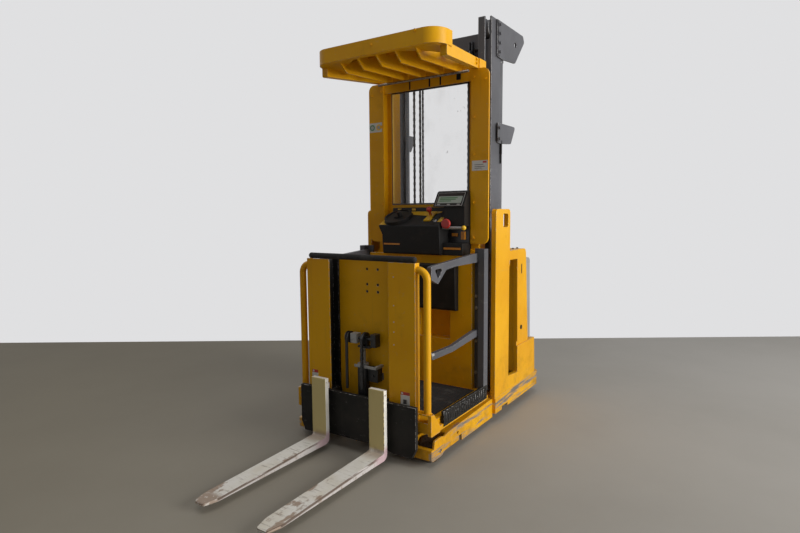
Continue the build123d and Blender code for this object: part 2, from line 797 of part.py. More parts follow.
def overhead_guard():
    y0, half, tube = guard_front_y, guard_half, guard_tube
    band = along_z([
        (-half, guard_side_end_y), (-half, y0, guard_corner_r), (half, y0, guard_corner_r), (half, guard_side_end_y),
        (half - tube, guard_side_end_y), (half - tube, y0 + tube, guard_corner_r - tube),
        (-half + tube, y0 + tube, guard_corner_r - tube), (-half + tube, guard_side_end_y),
    ], guard_bottom, guard_top)
    arm_front_y = guard_front_y + guard_corner_r - 20
    arm_rear_y = post_y + post_sheet
    low_front, low_rear = guard_bottom - guard_arm_drop, post_top + 2
    high_front, high_rear = guard_bottom + 14, channel_top
    plan = along_z([
        (half - 2, arm_front_y), (guard_arm_rear_x, arm_rear_y), (guard_arm_rear_x - tube, arm_rear_y),
        (half - tube - 2, arm_front_y),
    ], low_front - 5, high_rear + 5)
    side_view = along_x([
        (arm_front_y, low_front, 10), (arm_rear_y, low_rear), (arm_rear_y, high_rear), (arm_front_y, high_front),
    ], 0, half + 10)
    arm = plan & side_view
    flange_x = half - tube + 1
    arm += along_z([
        (flange_x, y0 + tube - 1), (flange_x - guard_flange, y0 + tube - 1), (flange_x - 20, guard_side_end_y),
        (flange_x, guard_side_end_y),
    ], guard_bottom, guard_bottom + 6)
    guard = band + arm + left_of(arm)
    for i in range(guard_bar_count):
        x = (i - (guard_bar_count - 1) / 2) * guard_bar_pitch
        guard += along_x([
            (y0 + tube - 1, guard_bottom + 4), (arm_front_y + 20, low_front + 6), (arm_rear_y, low_rear - 12),
            (arm_rear_y, high_rear - 10), (arm_front_y + 120, guard_top - 12), (y0 + tube - 1, guard_top - 12),
        ], x - guard_bar_sheet / 2, x + guard_bar_sheet / 2)
    strip_half = half - tube / 2 - 40
    strip_z = high_front + 20
    guard += block(-strip_half, strip_half, guard_strip_y, guard_strip_y + guard_strip_width, strip_z, strip_z + 5)
    return guard


def gate_posts():
    posts = Part()
    y0, y1 = gate_post_front_y, gate_post_front_y + gate_post_depth
    post = block(gate_post_inner, gate_post_outer, y0, y1, floor_top, gate_post_top)
    post += block(rear_wall_half, gate_post_outer, y1, y1 + gate_plate, floor_top, gate_post_top)
    for z in (gate_rail_z, gate_bar_z):
        post += rod_along("X", ((gate_inner - 2 + gate_post_inner) / 2, gate_pivot_y, z),
                          gate_pin_r, gate_post_inner - gate_inner + 4)
    for shape in (post, left_of(post)):
        posts += shape
    return posts


def gate_rail_right():
    x0, x1 = gate_inner, gate_inner + gate_sheet
    y, z = gate_pivot_y, gate_rail_z
    rail = along_x([
        (y + 24, z - 26, 20), (y + 24, z + 26, 20), (y - 40, z + 29), (130, z - 4, 16),
        (84, z - 8, 10), (84, z - 78, 14), (158, z - 108, 16), (250, z - 38, 30), (360, z - 28, 60),
    ], x0, x1)
    rail -= along_x([
        (122, z - 26, 8), (212, z - 24, 10), (160, z - 84, 10),
    ], x0 - 1, x1 + 1)
    return rail - rod_along("X", ((x0 + x1) / 2, y, z), gate_pin_r + seat_gap, gate_sheet + 2)


def gate_bar_right():
    x0, x1 = gate_inner, gate_inner + gate_sheet
    y, z = gate_pivot_y, gate_bar_z
    bar = along_x([
        (y + 22, z - 19, 16), (y + 22, z + 19, 16), (y - 60, z + 18, 40), (330, z - 16, 80),
        (92, z - 14, 12), (92, z - 48, 12), (330, z - 50, 80),
    ], x0, x1)
    return bar - rod_along("X", ((x0 + x1) / 2, y, z), gate_pin_r + seat_gap, gate_sheet + 2)


def kick_plates():
    plates = Part()
    plate = along_x([
        (kick_front_y + 30, sill_top), (kick_rear_y, sill_top), (kick_rear_y, kick_top),
        (kick_front_y, kick_top),
    ], kick_x, kick_x + kick_sheet)
    for i in range(kick_slot_count):
        y = kick_front_y + 44 + i * kick_slot_pitch
        plate -= block(kick_x - 1, kick_x + kick_sheet + 1, y, y + kick_slot_width, sill_top + 12, kick_top - 10)
    for shape in (plate, left_of(plate)):
        plates += shape
    return plates


def cabin_carriage():
    x0, x1 = carriage_plate_x, carriage_plate_x + carriage_plate_sheet
    front = inner_rail_front_y + inner_rail_bead
    rear = inner_rail_front_y + inner_rail_depth - inner_rail_bead
    y_mid = (front + rear) / 2
    back_y = channel_rear_y + 12
    frame = Part()
    arm = along_x([
        (back_y, carriage_bottom), (rear - 20, carriage_bottom, 40), (rear - 20, carriage_top, 40),
        (back_y, carriage_top),
    ], x0, x1)
    arm -= along_x([
        (back_y + 40, 440, 20), (rear - 50, 440, 20), (rear - 50, 670, 20), (back_y + 40, 670, 20),
    ], x0 - 1, x1 + 1)
    roller_r = (rear - front) / 2 - roller_slack
    roller_x = inner_rail_web - roller_gap - roller_width / 2
    for z in cabin_roller_zs:
        arm += rod_along("X", (roller_x, y_mid, z), roller_r, roller_width)
        arm += rod_along("X", ((x0 + roller_x) / 2, y_mid, z), roller_pin_r, roller_x - x0)
    frame += arm
    frame += left_of(arm)
    half = post_inner + channel_width
    for z in cabin_roller_zs:
        frame += block(-half, half, channel_rear_y, back_y, z - 52, z + 52)
    reach = mast_pulley_r + mast_chain_thickness
    chain_front = inner_rail_front_y + inner_rail_depth + mast_chain_gap + mast_chain_thickness - 2 * reach
    for side in (-1, 1):
        x = side * mast_chain_x
        frame += block(x - 14, x + 14, back_y - 1, chain_front - 6, mast_chain_low - 42, mast_chain_low - 6)
    return frame


# Console

def console_body():
    side_view = along_x([
        (console_front_y + 14, rear_wall_top, 12), (console_front_y, console_front_z, 14),
        (console_slope_y, console_slope_z), (console_slope_y + 5, console_ledge_z, 4),
        (console_rear_y, console_ledge_z), (console_rear_y, rear_wall_top),
    ], console_left, console_split)
    front_view = along_y([
        (console_left, console_ledge_z + 1), (console_left, console_front_z - 10, 10),
        (console_foot_left, console_front_z - 62, 20), (console_foot_left, rear_wall_top - 1),
        (console_split, rear_wall_top - 1), (console_split, console_ledge_z + 1),
    ], console_front_y - 1, console_rear_y + 1)
    shelf = block(console_split - 1, console_right, shelf_front_y, console_rear_y, rear_wall_top, shelf_top)
    return (side_view & front_view) + shelf


def display_unit():
    low = console_split + seat_gap
    base = block(low, console_right, display_front_y, console_rear_y, display_bottom, console_ledge_z)
    head = along_x([
        (console_slope_y - 120, console_ledge_z + 1), (console_slope_y - 58, console_ledge_z + 94, 8),
        (console_slope_y - 30, console_ledge_z + 106, 8), (console_rear_y - 32, console_ledge_z + 1),
    ], display_left, console_right)
    head += block(low, console_right, display_front_y, console_rear_y - 32, console_ledge_z - 1, console_ledge_z + 2)
    return base + head


def deck_place(x, y):
    rise = (console_slope_z - console_front_z) / (console_slope_y - console_front_y)
    z = console_front_z + (y - console_front_y) * rise
    return Pos(x, y, z) * Rot(math.degrees(math.atan(rise)), 0, 0)


def steering_disc():
    place = deck_place(steering_x, steering_y)
    disc = place * Pos(0, 0, 8 + seat_gap) * Cylinder(steering_r, 16)
    rim = place * Pos(0, 0, 18) * Cylinder(steering_r, 8)
    rim -= place * Pos(0, 0, 18) * Cylinder(steering_r - 14, 9)
    hub = place * Pos(0, 0, 18) * Cylinder(30, 12)
    knob = place * Pos(22, -8, 38) * Cylinder(15, 36)
    return disc + rim + hub + knob


def console_controls():
    controls = Part()
    stick = deck_place(stick_x, stick_y)
    controls += stick * Pos(0, 0, 4 + seat_gap) * Box(46, 104, 8)
    controls += stick * Pos(0, 14, 26) * Cylinder(9, 44)
    controls += stick * Pos(0, 14, 52) * Sphere(19)
    stem_depth = 26
    face = display_front_y - seat_gap
    controls += rod_along("Y", (stop_x, face - stem_depth / 2, stop_z), 13, stem_depth)
    button = rod_along("Y", (stop_x, face - stem_depth - 10, stop_z), stop_r, 22)
    controls += fillet(button.edges().filter_by(GeomType.CIRCLE), 6)
    start = console_split + seat_gap
    end = console_right + 8
    controls += rod_along("X", ((start + end) / 2, hand_bar_y, hand_bar_z), hand_bar_r, end - start)
    controls += Pos(end - 4, hand_bar_y, hand_bar_z) * Sphere(hand_knob_r)
    return controls


# Fork mast and forks

def fork_rails():
    rails = Part()
    x0, x1 = fork_rail_inner, fork_rail_inner + fork_rail_width
    y0, y1 = fork_rail_front_y, wall_back_y
    rail = block(x0, x1, y0, y1, fork_rail_bottom, fork_rail_top)
    rail -= block(x0 - 1, x1 - fork_rail_bead, y0 + fork_rail_bead, y1 - fork_rail_bead,
                  fork_rail_bottom - 1, fork_rail_top + 1)
    for shape in (rail, left_of(rail)):
        rails += shape
    return rails


def fork_cylinder():
    x, y = fork_barrel_x, fork_barrel_y
    barrel = rod_along("Z", (x, y, (fork_barrel_bottom + fork_barrel_top) / 2), fork_barrel_r,
                       fork_barrel_top - fork_barrel_bottom)
    barrel += rod_along("Z", (x, y, fork_barrel_top - 8), fork_barrel_r + 1, 16)
    bore = fork_barrel_top - fork_barrel_bottom - 14
    barrel -= rod_along("Z", (x, y, fork_barrel_top), fork_rod_r + rod_slack, 2 * bore)
    for low in (290, 440):
        barrel += block(x - 24, x + 24, y + fork_barrel_r - 8, wall_back_y, low, low + 30)
    return barrel


def lift_head():
    x, y, z = fork_barrel_x, fork_pulley_y, fork_pulley_z
    rod_low = fork_barrel_bottom + 18
    rod_high = z - fork_pulley_r - chain_thickness - 12
    head = rod_along("Z", (x, fork_barrel_y, (rod_low + rod_high) / 2), fork_rod_r, rod_high - rod_low)
    head += block(x - 22, x + 62, y - 16, fork_barrel_y + 16, rod_high, rod_high + 12)
    chain_x = x + 22
    for side in (-1, 1):
        plate_x = chain_x + side * 16
        head += block(plate_x - 4, plate_x + 4, y - 16, y + 16, rod_high + 8, z + 18)
    head += rod_along("X", (x - 2, y, z), 9, 216)
    head += rod_along("X", (chain_x, y, z), fork_pulley_r, fork_pulley_width)
    head += block(x - 68, x - 24, y - 24, y + 22, z - 28, z + 28)
    head += block(x + 72, x + 108, y - 20, y + 26, z - 40, z + 34)
    hose_x = x - 93
    pulley = rod_along("X", (hose_x, y, z), fork_pulley_r + 2, 24)
    groove = rod_along("X", (hose_x, y, z), fork_pulley_r + 4, 12) - rod_along("X", (hose_x, y, z), fork_pulley_r - 6, 13)
    head += pulley - groove
    front_y = y - fork_pulley_r - chain_thickness
    wrap = rod_along("X", (chain_x, y, z), fork_pulley_r + chain_thickness, chain_width)
    wrap -= rod_along("X", (chain_x, y, z), fork_pulley_r, chain_width + 2)
    wrap -= block(chain_x - 40, chain_x + 40, y - 80, y + 80, z - 80, z)
    head += wrap
    half = chain_width / 2
    head += block(chain_x - half, chain_x + half, front_y, front_y + chain_thickness, chain_bottom, z)
    return head


def carriage_plate():
    bottom = fork_plate_bottom
    half = fork_plate_half
    plate = along_y([
        (-half, bottom + 14), (-half + 26, bottom - 40, 6), (-fork_x - 66, bottom - 40, 10),
        (-fork_x + 54, bottom - 12), (fork_x - 54, bottom - 12), (fork_x + 66, bottom - 40, 10),
        (half - 26, bottom - 40, 6), (half, bottom + 14), (half, fork_plate_top, 6), (-half, fork_plate_top, 6),
    ], fork_plate_y, fork_plate_y + fork_plate_sheet)
    return plate


def carriage_frame():
    y0 = fork_plate_y + fork_plate_sheet
    x0, x1 = fork_frame_x, fork_frame_x + fork_frame_sheet
    rear = wall_back_y - fork_rail_bead
    front = fork_rail_front_y + fork_rail_bead
    y_mid = (front + rear) / 2
    frame = Part()
    arm = along_x([
        (y0, 60), (rear - 16, 60, 20), (rear - 16, fork_plate_top - 6, 20), (y0 + hook_sheet + 4, fork_plate_top - 6),
        (y0 + hook_sheet + 4, fork_plate_top - hook_drop - 6), (y0, fork_plate_top - hook_drop - 6),
    ], x0, x1)
    roller_r = (rear - front) / 2 - roller_slack
    roller_x = x1 + roller_gap + 18
    for z in fork_roller_zs:
        arm += rod_along("X", (roller_x, y_mid, z), roller_r, 36)
        arm += rod_along("X", ((x0 + roller_x) / 2, y_mid, z), 10, roller_x - x0)
    frame += arm
    frame += left_of(arm)
    for z in (80, 230):
        frame += block(-x0, x0, y0, y0 + 14, z - 20, z + 60)
    return frame


def fork(side):
    x0, x1 = side * fork_x - fork_width / 2, side * fork_x + fork_width / 2
    front, back = fork_front_y, fork_front_y + fork_shank
    low = fork_blade_top - fork_heel
    body = along_x([
        (back, low, 34), (back, fork_shank_top, 5), (front, fork_shank_top, 5), (front, fork_blade_top, 12),
        (fork_tip_y + 6, low + fork_tip + 1), (fork_tip_y, low + fork_tip - 3), (fork_tip_y, low),
    ], x0, x1)
    tip_half = fork_tip_width / 2
    middle = side * fork_x
    plan = along_z([
        (middle - fork_width / 2, back + 1), (middle - fork_width / 2, fork_tip_y + 70),
        (middle - tip_half, fork_tip_y, 14), (middle + tip_half, fork_tip_y, 14),
        (middle + fork_width / 2, fork_tip_y + 70), (middle + fork_width / 2, back + 1),
    ], 0, fork_shank_top + 10)
    body = body & plan
    hook_top = fork_plate_top + seat_gap
    hook_rear = fork_plate_y + fork_plate_sheet + seat_gap
    hook_left, hook_right = x0 + 10, x0 + 10 + hook_width
    hook = block(hook_left, hook_right, back, hook_rear + hook_sheet, hook_top, hook_top + 30)
    hook += block(hook_left, hook_right, hook_rear, hook_rear + hook_sheet, hook_top - hook_drop, hook_top + 10)
    foot = block(hook_left, hook_right, back, fork_plate_y - seat_gap, 110, 150)
    pin = rod_along("X", (middle + fork_width / 2 - 6, back - fork_shank / 2, fork_shank_top - 24), 5, 22)
    return body + hook + foot + pin


NODES = {
    "leg_right": leg_right, "leg_left": lambda: left_of(leg_right()), "load_axles": load_axles,
    "load_wheel_right": lambda: load_wheel(1), "load_wheel_left": lambda: load_wheel(-1),
    "chassis_base": chassis_base, "side_frame_right": side_frame_right,
    "side_frame_left": lambda: left_of(side_frame_right()), "hood_lid": hood_lid, "lower_hood": lower_hood,
    "rear_cover": rear_cover, "battery": battery, "drive_yoke": drive_yoke, "drive_motor": drive_motor,
    "drive_wheel": drive_wheel, "outer_rail_right": outer_rail_right,
    "outer_rail_left": lambda: left_of(outer_rail_right()), "outer_ties": outer_ties,
    "mast_brackets": mast_brackets, "lift_barrels": lift_barrels, "lift_rods": lift_rods,
    "lift_chains": lift_chains, "anchor_chains": anchor_chains,
    "inner_rail_right": inner_rail_right, "inner_rail_left": lambda: left_of(inner_rail_right()),
    "inner_ties": inner_ties, "cabin_floor": cabin_floor, "toe_box_right": toe_box_right,
    "toe_box_left": lambda: left_of(toe_box_right()), "front_panel_right": front_panel_right,
    "front_panel_left": lambda: left_of(front_panel_right()), "front_back_plate": front_back_plate,
    "front_pad": front_pad, "hand_tubes": hand_tubes, "rear_wall": rear_wall, "storage_box": storage_box,
    "rear_post_right": rear_post_right, "rear_post_left": lambda: left_of(rear_post_right()),
    "window_frame": window_frame, "window_gasket": window_gasket, "window_pane": window_pane,
    "overhead_guard": overhead_guard,
    "gate_posts": gate_posts, "gate_rail_right": gate_rail_right,
    "gate_rail_left": lambda: left_of(gate_rail_right()), "gate_bar_right": gate_bar_right,
    "gate_bar_left": lambda: left_of(gate_bar_right()), "kick_plates": kick_plates,
    "cabin_carriage": cabin_carriage, "console_body": console_body, "display_unit": display_unit,
    "steering_disc": steering_disc, "console_controls": console_controls, "fork_rails": fork_rails,
    "fork_cylinder": fork_cylinder, "lift_head": lift_head, "carriage_plate": carriage_plate,
    "carriage_frame": carriage_frame, "fork_right": lambda: fork(1), "fork_left": lambda: fork(-1),
}


def save_nodes():
    os.makedirs("parts", exist_ok=True)
    for name, make in NODES.items():
        export_step(Pos(0, -middle_y, 0) * make(), f"parts/{name}.step")


save_nodes()
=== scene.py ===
import json
import math

import bmesh
import bpy
from mathutils import Matrix, Vector

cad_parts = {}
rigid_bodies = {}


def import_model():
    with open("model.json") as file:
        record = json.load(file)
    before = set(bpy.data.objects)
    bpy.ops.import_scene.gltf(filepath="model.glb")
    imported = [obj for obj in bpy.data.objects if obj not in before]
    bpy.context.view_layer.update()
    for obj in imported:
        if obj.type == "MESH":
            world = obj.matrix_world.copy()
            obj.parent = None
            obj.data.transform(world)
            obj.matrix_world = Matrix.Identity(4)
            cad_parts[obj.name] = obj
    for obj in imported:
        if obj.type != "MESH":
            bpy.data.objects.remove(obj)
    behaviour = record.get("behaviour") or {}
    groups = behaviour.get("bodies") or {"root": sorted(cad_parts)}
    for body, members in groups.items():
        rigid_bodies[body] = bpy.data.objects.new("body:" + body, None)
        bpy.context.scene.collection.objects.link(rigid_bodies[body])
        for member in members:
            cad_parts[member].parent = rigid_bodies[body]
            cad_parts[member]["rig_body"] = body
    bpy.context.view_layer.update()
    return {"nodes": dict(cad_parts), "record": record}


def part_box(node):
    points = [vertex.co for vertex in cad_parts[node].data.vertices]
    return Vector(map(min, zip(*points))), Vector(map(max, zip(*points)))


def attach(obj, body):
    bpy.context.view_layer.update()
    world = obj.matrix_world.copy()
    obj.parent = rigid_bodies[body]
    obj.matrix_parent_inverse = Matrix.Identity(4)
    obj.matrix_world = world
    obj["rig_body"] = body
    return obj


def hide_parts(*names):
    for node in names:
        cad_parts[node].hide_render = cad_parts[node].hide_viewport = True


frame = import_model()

truckNodes = frame["nodes"]
slotOf = {part["node"]: part["material_slot"] for part in frame["record"]["subparts"]}
bodyOf = {name: node["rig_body"] for name, node in truckNodes.items()}
sides = ((-1, "left"), (1, "right"))


class Wire:  # an output socket, so that masks read as sums
    def __init__(self, tree, socket):
        self.tree = tree
        self.socket = socket

    def make(self, kind, settings=None, sockets=None, output=0):
        node = self.tree.nodes.new("ShaderNode" + kind)
        for key, value in (settings or {}).items():
            setattr(node, key, value)
        for key, value in (sockets or {}).items():
            if isinstance(value, Wire):
                self.tree.links.new(value.socket, node.inputs[key])
            else:
                node.inputs[key].default_value = value
        return Wire(self.tree, node.outputs[output] if len(node.outputs) else None)

    def other(self, output):
        return Wire(self.tree, self.socket.node.outputs[output])

    def reckon(self, operation, first, second):
        return self.make("Math", {"operation": operation}, {0: first, 1: second})

    def most(self, value):
        return self.reckon("MAXIMUM", self, value)

    def __abs__(self):
        return self.make("Math", {"operation": "ABSOLUTE"}, {0: self})

    def __add__(self, value):
        return self.reckon("ADD", self, value)

    def __radd__(self, value):
        return self.reckon("ADD", value, self)

    def __sub__(self, value):
        return self.reckon("SUBTRACT", self, value)

    def __rsub__(self, value):
        return self.reckon("SUBTRACT", value, self)

    def __mul__(self, value):
        return self.reckon("MULTIPLY", self, value)


def emptyMaterial(name):
    material = bpy.data.materials.new(name)
    material.use_nodes = True
    material.node_tree.nodes.clear()
    return material, Wire(material.node_tree, None)


def openMaterial(name):
    material, start = emptyMaterial(name)
    return material, start.make("TexCoord", output="Object")


def closeMaterial(material, place, changing, fixed=None, bump=None):
    sockets = dict(fixed or {})
    sockets.update(changing)
    if bump is not None:
        height, strength, distance = bump
        relief = {"Height": height, "Strength": strength, "Distance": distance}
        sockets["Normal"] = place.make("Bump", sockets=relief)
    shader = place.make("BsdfPrincipled", sockets=sockets)
    place.make("OutputMaterial", sockets={"Surface": shader})
    return material


def cloud(place, scale, detail=4, rough=0.55, stretch=(1, 1, 1), shift=0):
    spread = {"Vector": place, "Scale": stretch, "Location": (shift, shift, shift)}
    moved = place.make("Mapping", sockets=spread)
    noise = {"Vector": moved, "Scale": scale, "Detail": detail, "Roughness": rough}
    return place.make("TexNoise", sockets=noise)


def ease(value, low, high):
    return value.make("MapRange", {"interpolation_type": "SMOOTHSTEP"},
                      {"Value": value, "From Min": low, "From Max": high})


def mixTone(factor, first, second, way="MIX"):
    return factor.make("Mix", {"data_type": "RGBA", "blend_type": way}, {0: factor, 6: first, 7: second}, 2)


def axisOf(place, letter):
    return place.make("SeparateXYZ", sockets={0: place}, output=letter)


def edgeMask(place):
    return place.make("Attribute", {"attribute_name": "edgeWear"}, output="Fac")


def rgb(red, green, blue):
    return (red, green, blue, 1)


# Painted steel: slow colour change, dirt near the floor, fine streaks, chipped edges

paintLooks = {
    "yellow_paint": {"tone": rgb(0.80, 0.405, 0.006), "second": rgb(0.72, 0.335, 0.004),
                     "dirt": rgb(0.12, 0.07, 0.025), "bare": rgb(0.40, 0.37, 0.34), "rough": 0.34,
                     "dirtAmount": 0.45, "chips": 0.62, "streaks": 0.4, "floorScrape": 1.0,
                     "coat": 0.04, "sheen": 0.2},
    "dark_paint": {"tone": rgb(0.105, 0.105, 0.115), "second": rgb(0.075, 0.075, 0.08),
                   "dirt": rgb(0.16, 0.15, 0.135), "bare": rgb(0.36, 0.35, 0.34), "rough": 0.42,
                   "dirtAmount": 0.4, "chips": 0.58, "streaks": 0.45, "floorScrape": 0.0,
                   "coat": 0.0, "sheen": 0.25},
    "grey_paint": {"tone": rgb(0.30, 0.30, 0.30), "second": rgb(0.24, 0.24, 0.235),
                   "dirt": rgb(0.13, 0.12, 0.10), "bare": rgb(0.42, 0.41, 0.40), "rough": 0.5,
                   "dirtAmount": 0.4, "chips": 0.55, "streaks": 0.5, "floorScrape": 0.0,
                   "coat": 0.0, "sheen": 0.25},
    "black_plate": {"tone": rgb(0.010, 0.0095, 0.009), "second": rgb(0.018, 0.017, 0.015),
                    "dirt": rgb(0.055, 0.047, 0.038), "bare": rgb(0.26, 0.25, 0.24), "rough": 0.46,
                    "dirtAmount": 0.35, "chips": 0.66, "streaks": 0.6, "floorScrape": 0.0,
                    "coat": 0.0, "sheen": 0.16},
}
paintWear = {  # the pairs run from none to full, in metres
    "dirtHeights": (0.55, 0.02), "scrapeSides": (0.452, 0.47), "scrapeTop": (0.19, 0.15),
    "scrapeFoot": (0.02, 0.05), "patchDirt": 0.18, "hangDirt": 0.35, "scratchShow": 0.3,
    "edgePull": 0.16, "chipSoftness": 0.05, "bareMetal": 0.85, "coatRough": 0.2,
    "bumpStrength": 0.22, "bumpDepth": 0.0012,
}


def paintedSteel(name, look):
    wear = paintWear
    material, place = openMaterial(name)
    height = axisOf(place, "Z")
    across = height.other("X")
    edge = edgeMask(place)
    slow = cloud(place, scale=1.7, detail=3)
    patch = cloud(place, scale=9, detail=6, rough=0.6, shift=3)
    speck = cloud(place, scale=60, detail=5, rough=0.6, shift=7)
    streak = cloud(place, scale=22, detail=6, rough=0.65, stretch=(1.0, 0.09, 1.6), shift=11)
    hang = cloud(place, scale=26, detail=5, rough=0.6, stretch=(1.5, 1.5, 0.07), shift=17)
    rub = cloud(place, scale=13, detail=7, rough=0.7, stretch=(1, 0.16, 2.6), shift=23)
    tone = mixTone(ease(slow, 0.35, 0.68), look["tone"], look["second"])
    tone = mixTone(ease(patch, 0.55, 0.8) * wear["patchDirt"], tone, look["dirt"])
    low = ease(height, *wear["dirtHeights"])
    dirt = (ease(patch, 0.38, 0.72) * low + ease(hang, 0.56, 0.8) * wear["hangDirt"]) * look["dirtAmount"]
    tone = mixTone(dirt, tone, look["dirt"])
    scratch = ease(streak, 0.60, 0.66) * ease(speck, 0.42, 0.58) * look["streaks"]
    tone = mixTone(scratch * wear["scratchShow"], tone, look["bare"])
    chip = ease(speck + edge * wear["edgePull"], look["chips"], look["chips"] + wear["chipSoftness"]) * edge
    scrape = ease(abs(across), *wear["scrapeSides"]) * ease(height, *wear["scrapeTop"])
    scrape = scrape * ease(height, *wear["scrapeFoot"]) * ease(rub, 0.49, 0.58) * look["floorScrape"]
    bare = chip.most(scrape)
    tone = mixTone(bare, tone, look["bare"])
    rough = look["rough"] + ease(patch, 0.3, 0.8) * 0.16 + dirt * 0.3 - bare * 0.06
    relief = speck * 0.25 - bare * 0.9 - scratch * 0.2
    changing = {"Base Color": tone, "Roughness": rough, "Metallic": bare * wear["bareMetal"]}
    fixed = {"Coat Weight": look["coat"], "Coat Roughness": wear["coatRough"],
             "Specular IOR Level": look["sheen"]}
    return closeMaterial(material, place, changing, fixed, (relief, wear["bumpStrength"], wear["bumpDepth"]))


# Forks: olive cream in front, scraped whitish on top, brown patches, pink heels

forkLook = {
    "top": rgb(0.84, 0.81, 0.74), "topSecond": rgb(0.74, 0.69, 0.58), "shank": rgb(0.66, 0.54, 0.24),
    "side": rgb(0.58, 0.54, 0.51), "patch": rgb(0.33, 0.225, 0.155), "streak": rgb(0.34, 0.29, 0.23),
    "pink": rgb(0.58, 0.40, 0.42), "edge": rgb(0.11, 0.07, 0.045), "rough": 0.55,
    "middle": 0.204, "half": 0.050, "frontFace": -0.447, "bladeTop": 0.076, "fall": 0.0329, "tip": -1.267,
    "shankHeights": (0.082, 0.10), "patchReach": (-0.56, -0.66), "lineReach": (-0.44, -0.52),
    "heelReach": (-0.56, -0.47), "heelHeights": (0.125, 0.085),
    "flankBand": (0.0022, 0.0008), "frontBand": (0.0035, 0.0015), "edgeBand": 0.045, "tipBand": (0.11, 0.07),
    "underBand": (0.015, 0.008), "bumpStrength": 0.35, "bumpDepth": 0.0018,
}


def bandOf(value, start, span, sign):  # eases in between two distances from start
    return ease(value, start + sign * span[0], start + sign * span[1])


def wornForks(name, look):
    material, place = openMaterial(name)
    across = axisOf(place, "X")
    along = across.other("Y")
    height = across.other("Z")
    edge = edgeMask(place)
    slow = cloud(place, scale=6, detail=4)
    blot = cloud(place, scale=9, detail=5, stretch=(1, 0.6, 1), shift=2)
    speck = cloud(place, scale=70, detail=6, rough=0.65, stretch=(1, 0.6, 1), shift=5)
    rub = cloud(place, scale=42, detail=6, rough=0.7, stretch=(0.16, 1.5, 1), shift=9)
    scrape = cloud(place, scale=30, detail=6, rough=0.65, stretch=(1, 0.14, 1), shift=15)
    half, frontFace, bladeTop, tip = look["half"], look["frontFace"], look["bladeTop"], look["tip"]
    upright = ease(height, *look["shankHeights"])
    blade = 1 - upright
    reach = abs(abs(across) - look["middle"])
    flank = bandOf(reach, half, look["flankBand"], -1)
    front = bandOf(along, frontFace, look["frontBand"], 1) * upright
    tone = mixTone(ease(slow, 0.38, 0.68), look["top"], look["topSecond"])
    tone = mixTone(flank * blade, tone, look["side"])
    tone = mixTone(ease(rub, 0.54, 0.62) * ease(blot, 0.42, 0.56) * blade * 0.7, tone, look["streak"])
    nearEdge = ease(reach, half - look["edgeBand"], half) * 0.05
    patch = ease(blot + nearEdge, 0.625, 0.675) * ease(along, *look["patchReach"])
    tipPatch = bandOf(along, tip, look["tipBand"], 1) * ease(across, 0.05, -0.05) * ease(speck, 0.3, 0.5)
    brown = patch.most(tipPatch) * blade * (1 - flank * 0.5)
    tone = mixTone(brown * 0.85, tone, look["patch"])
    below = height - (along - frontFace) * look["fall"]
    under = flank * bandOf(below, bladeTop, look["underBand"], -1) * blade
    line = under.most(edge * blade) * ease(scrape, 0.36, 0.50) * ease(along, *look["lineReach"])
    tone = mixTone(line * 0.9, tone, look["edge"])
    tone = mixTone(front, tone, look["shank"])
    heel = ease(along, *look["heelReach"]) * ease(height, *look["heelHeights"])
    tone = mixTone(heel * flank * 0.9, tone, look["pink"])
    tone = mixTone(heel * (1 - flank) * ease(blot, 0.36, 0.5) * 0.7, tone, look["patch"])
    chip = edge * upright * ease(speck, 0.44, 0.54)
    tone = mixTone(chip, tone, look["edge"])
    rough = look["rough"] + brown * 0.25 - line * 0.1
    relief = speck * 0.4 - brown * 0.5 - line * 0.6
    return closeMaterial(material, place, {"Base Color": tone, "Roughness": rough},
                         {"Specular IOR Level": 0.3}, (relief, look["bumpStrength"], look["bumpDepth"]))


# Bare metal, rubber, plastic and the clear pane

metalWear = {"grease": rgb(0.045, 0.036, 0.028), "greaseDulls": 0.8,
             "bumpStrength": 0.12, "bumpDepth": 0.0006}
metalLooks = {
    "oiled_chain": {"tone": rgb(0.11, 0.11, 0.115), "second": rgb(0.05, 0.05, 0.052), "rough": 0.34,
                    "grease": 0.8},
    "bare_steel": {"tone": rgb(0.42, 0.41, 0.40), "second": rgb(0.26, 0.25, 0.235), "rough": 0.36,
                   "grease": 0.5},
    "chrome": {"tone": rgb(0.72, 0.72, 0.73), "second": rgb(0.55, 0.55, 0.56), "rough": 0.14,
               "grease": 0.15},
    "battery_case": {"tone": rgb(0.035, 0.035, 0.04), "second": rgb(0.06, 0.058, 0.055), "rough": 0.6,
                     "grease": 0.4},
}


def wornMetal(name, look):
    material, place = openMaterial(name)
    patch = cloud(place, scale=14, detail=6, rough=0.6)
    speck = cloud(place, scale=90, detail=5, rough=0.6, shift=4)
    grease = ease(patch, 0.48, 0.7) * look["grease"]
    tone = mixTone(ease(speck, 0.35, 0.65), look["tone"], look["second"])
    tone = mixTone(grease, tone, metalWear["grease"])
    rough = look["rough"] + ease(speck, 0.3, 0.7) * 0.12 + grease * 0.2
    changing = {"Base Color": tone, "Roughness": rough, "Metallic": 1 - grease * metalWear["greaseDulls"]}
    bump = (speck, metalWear["bumpStrength"], metalWear["bumpDepth"])
    return closeMaterial(material, place, changing, bump=bump)


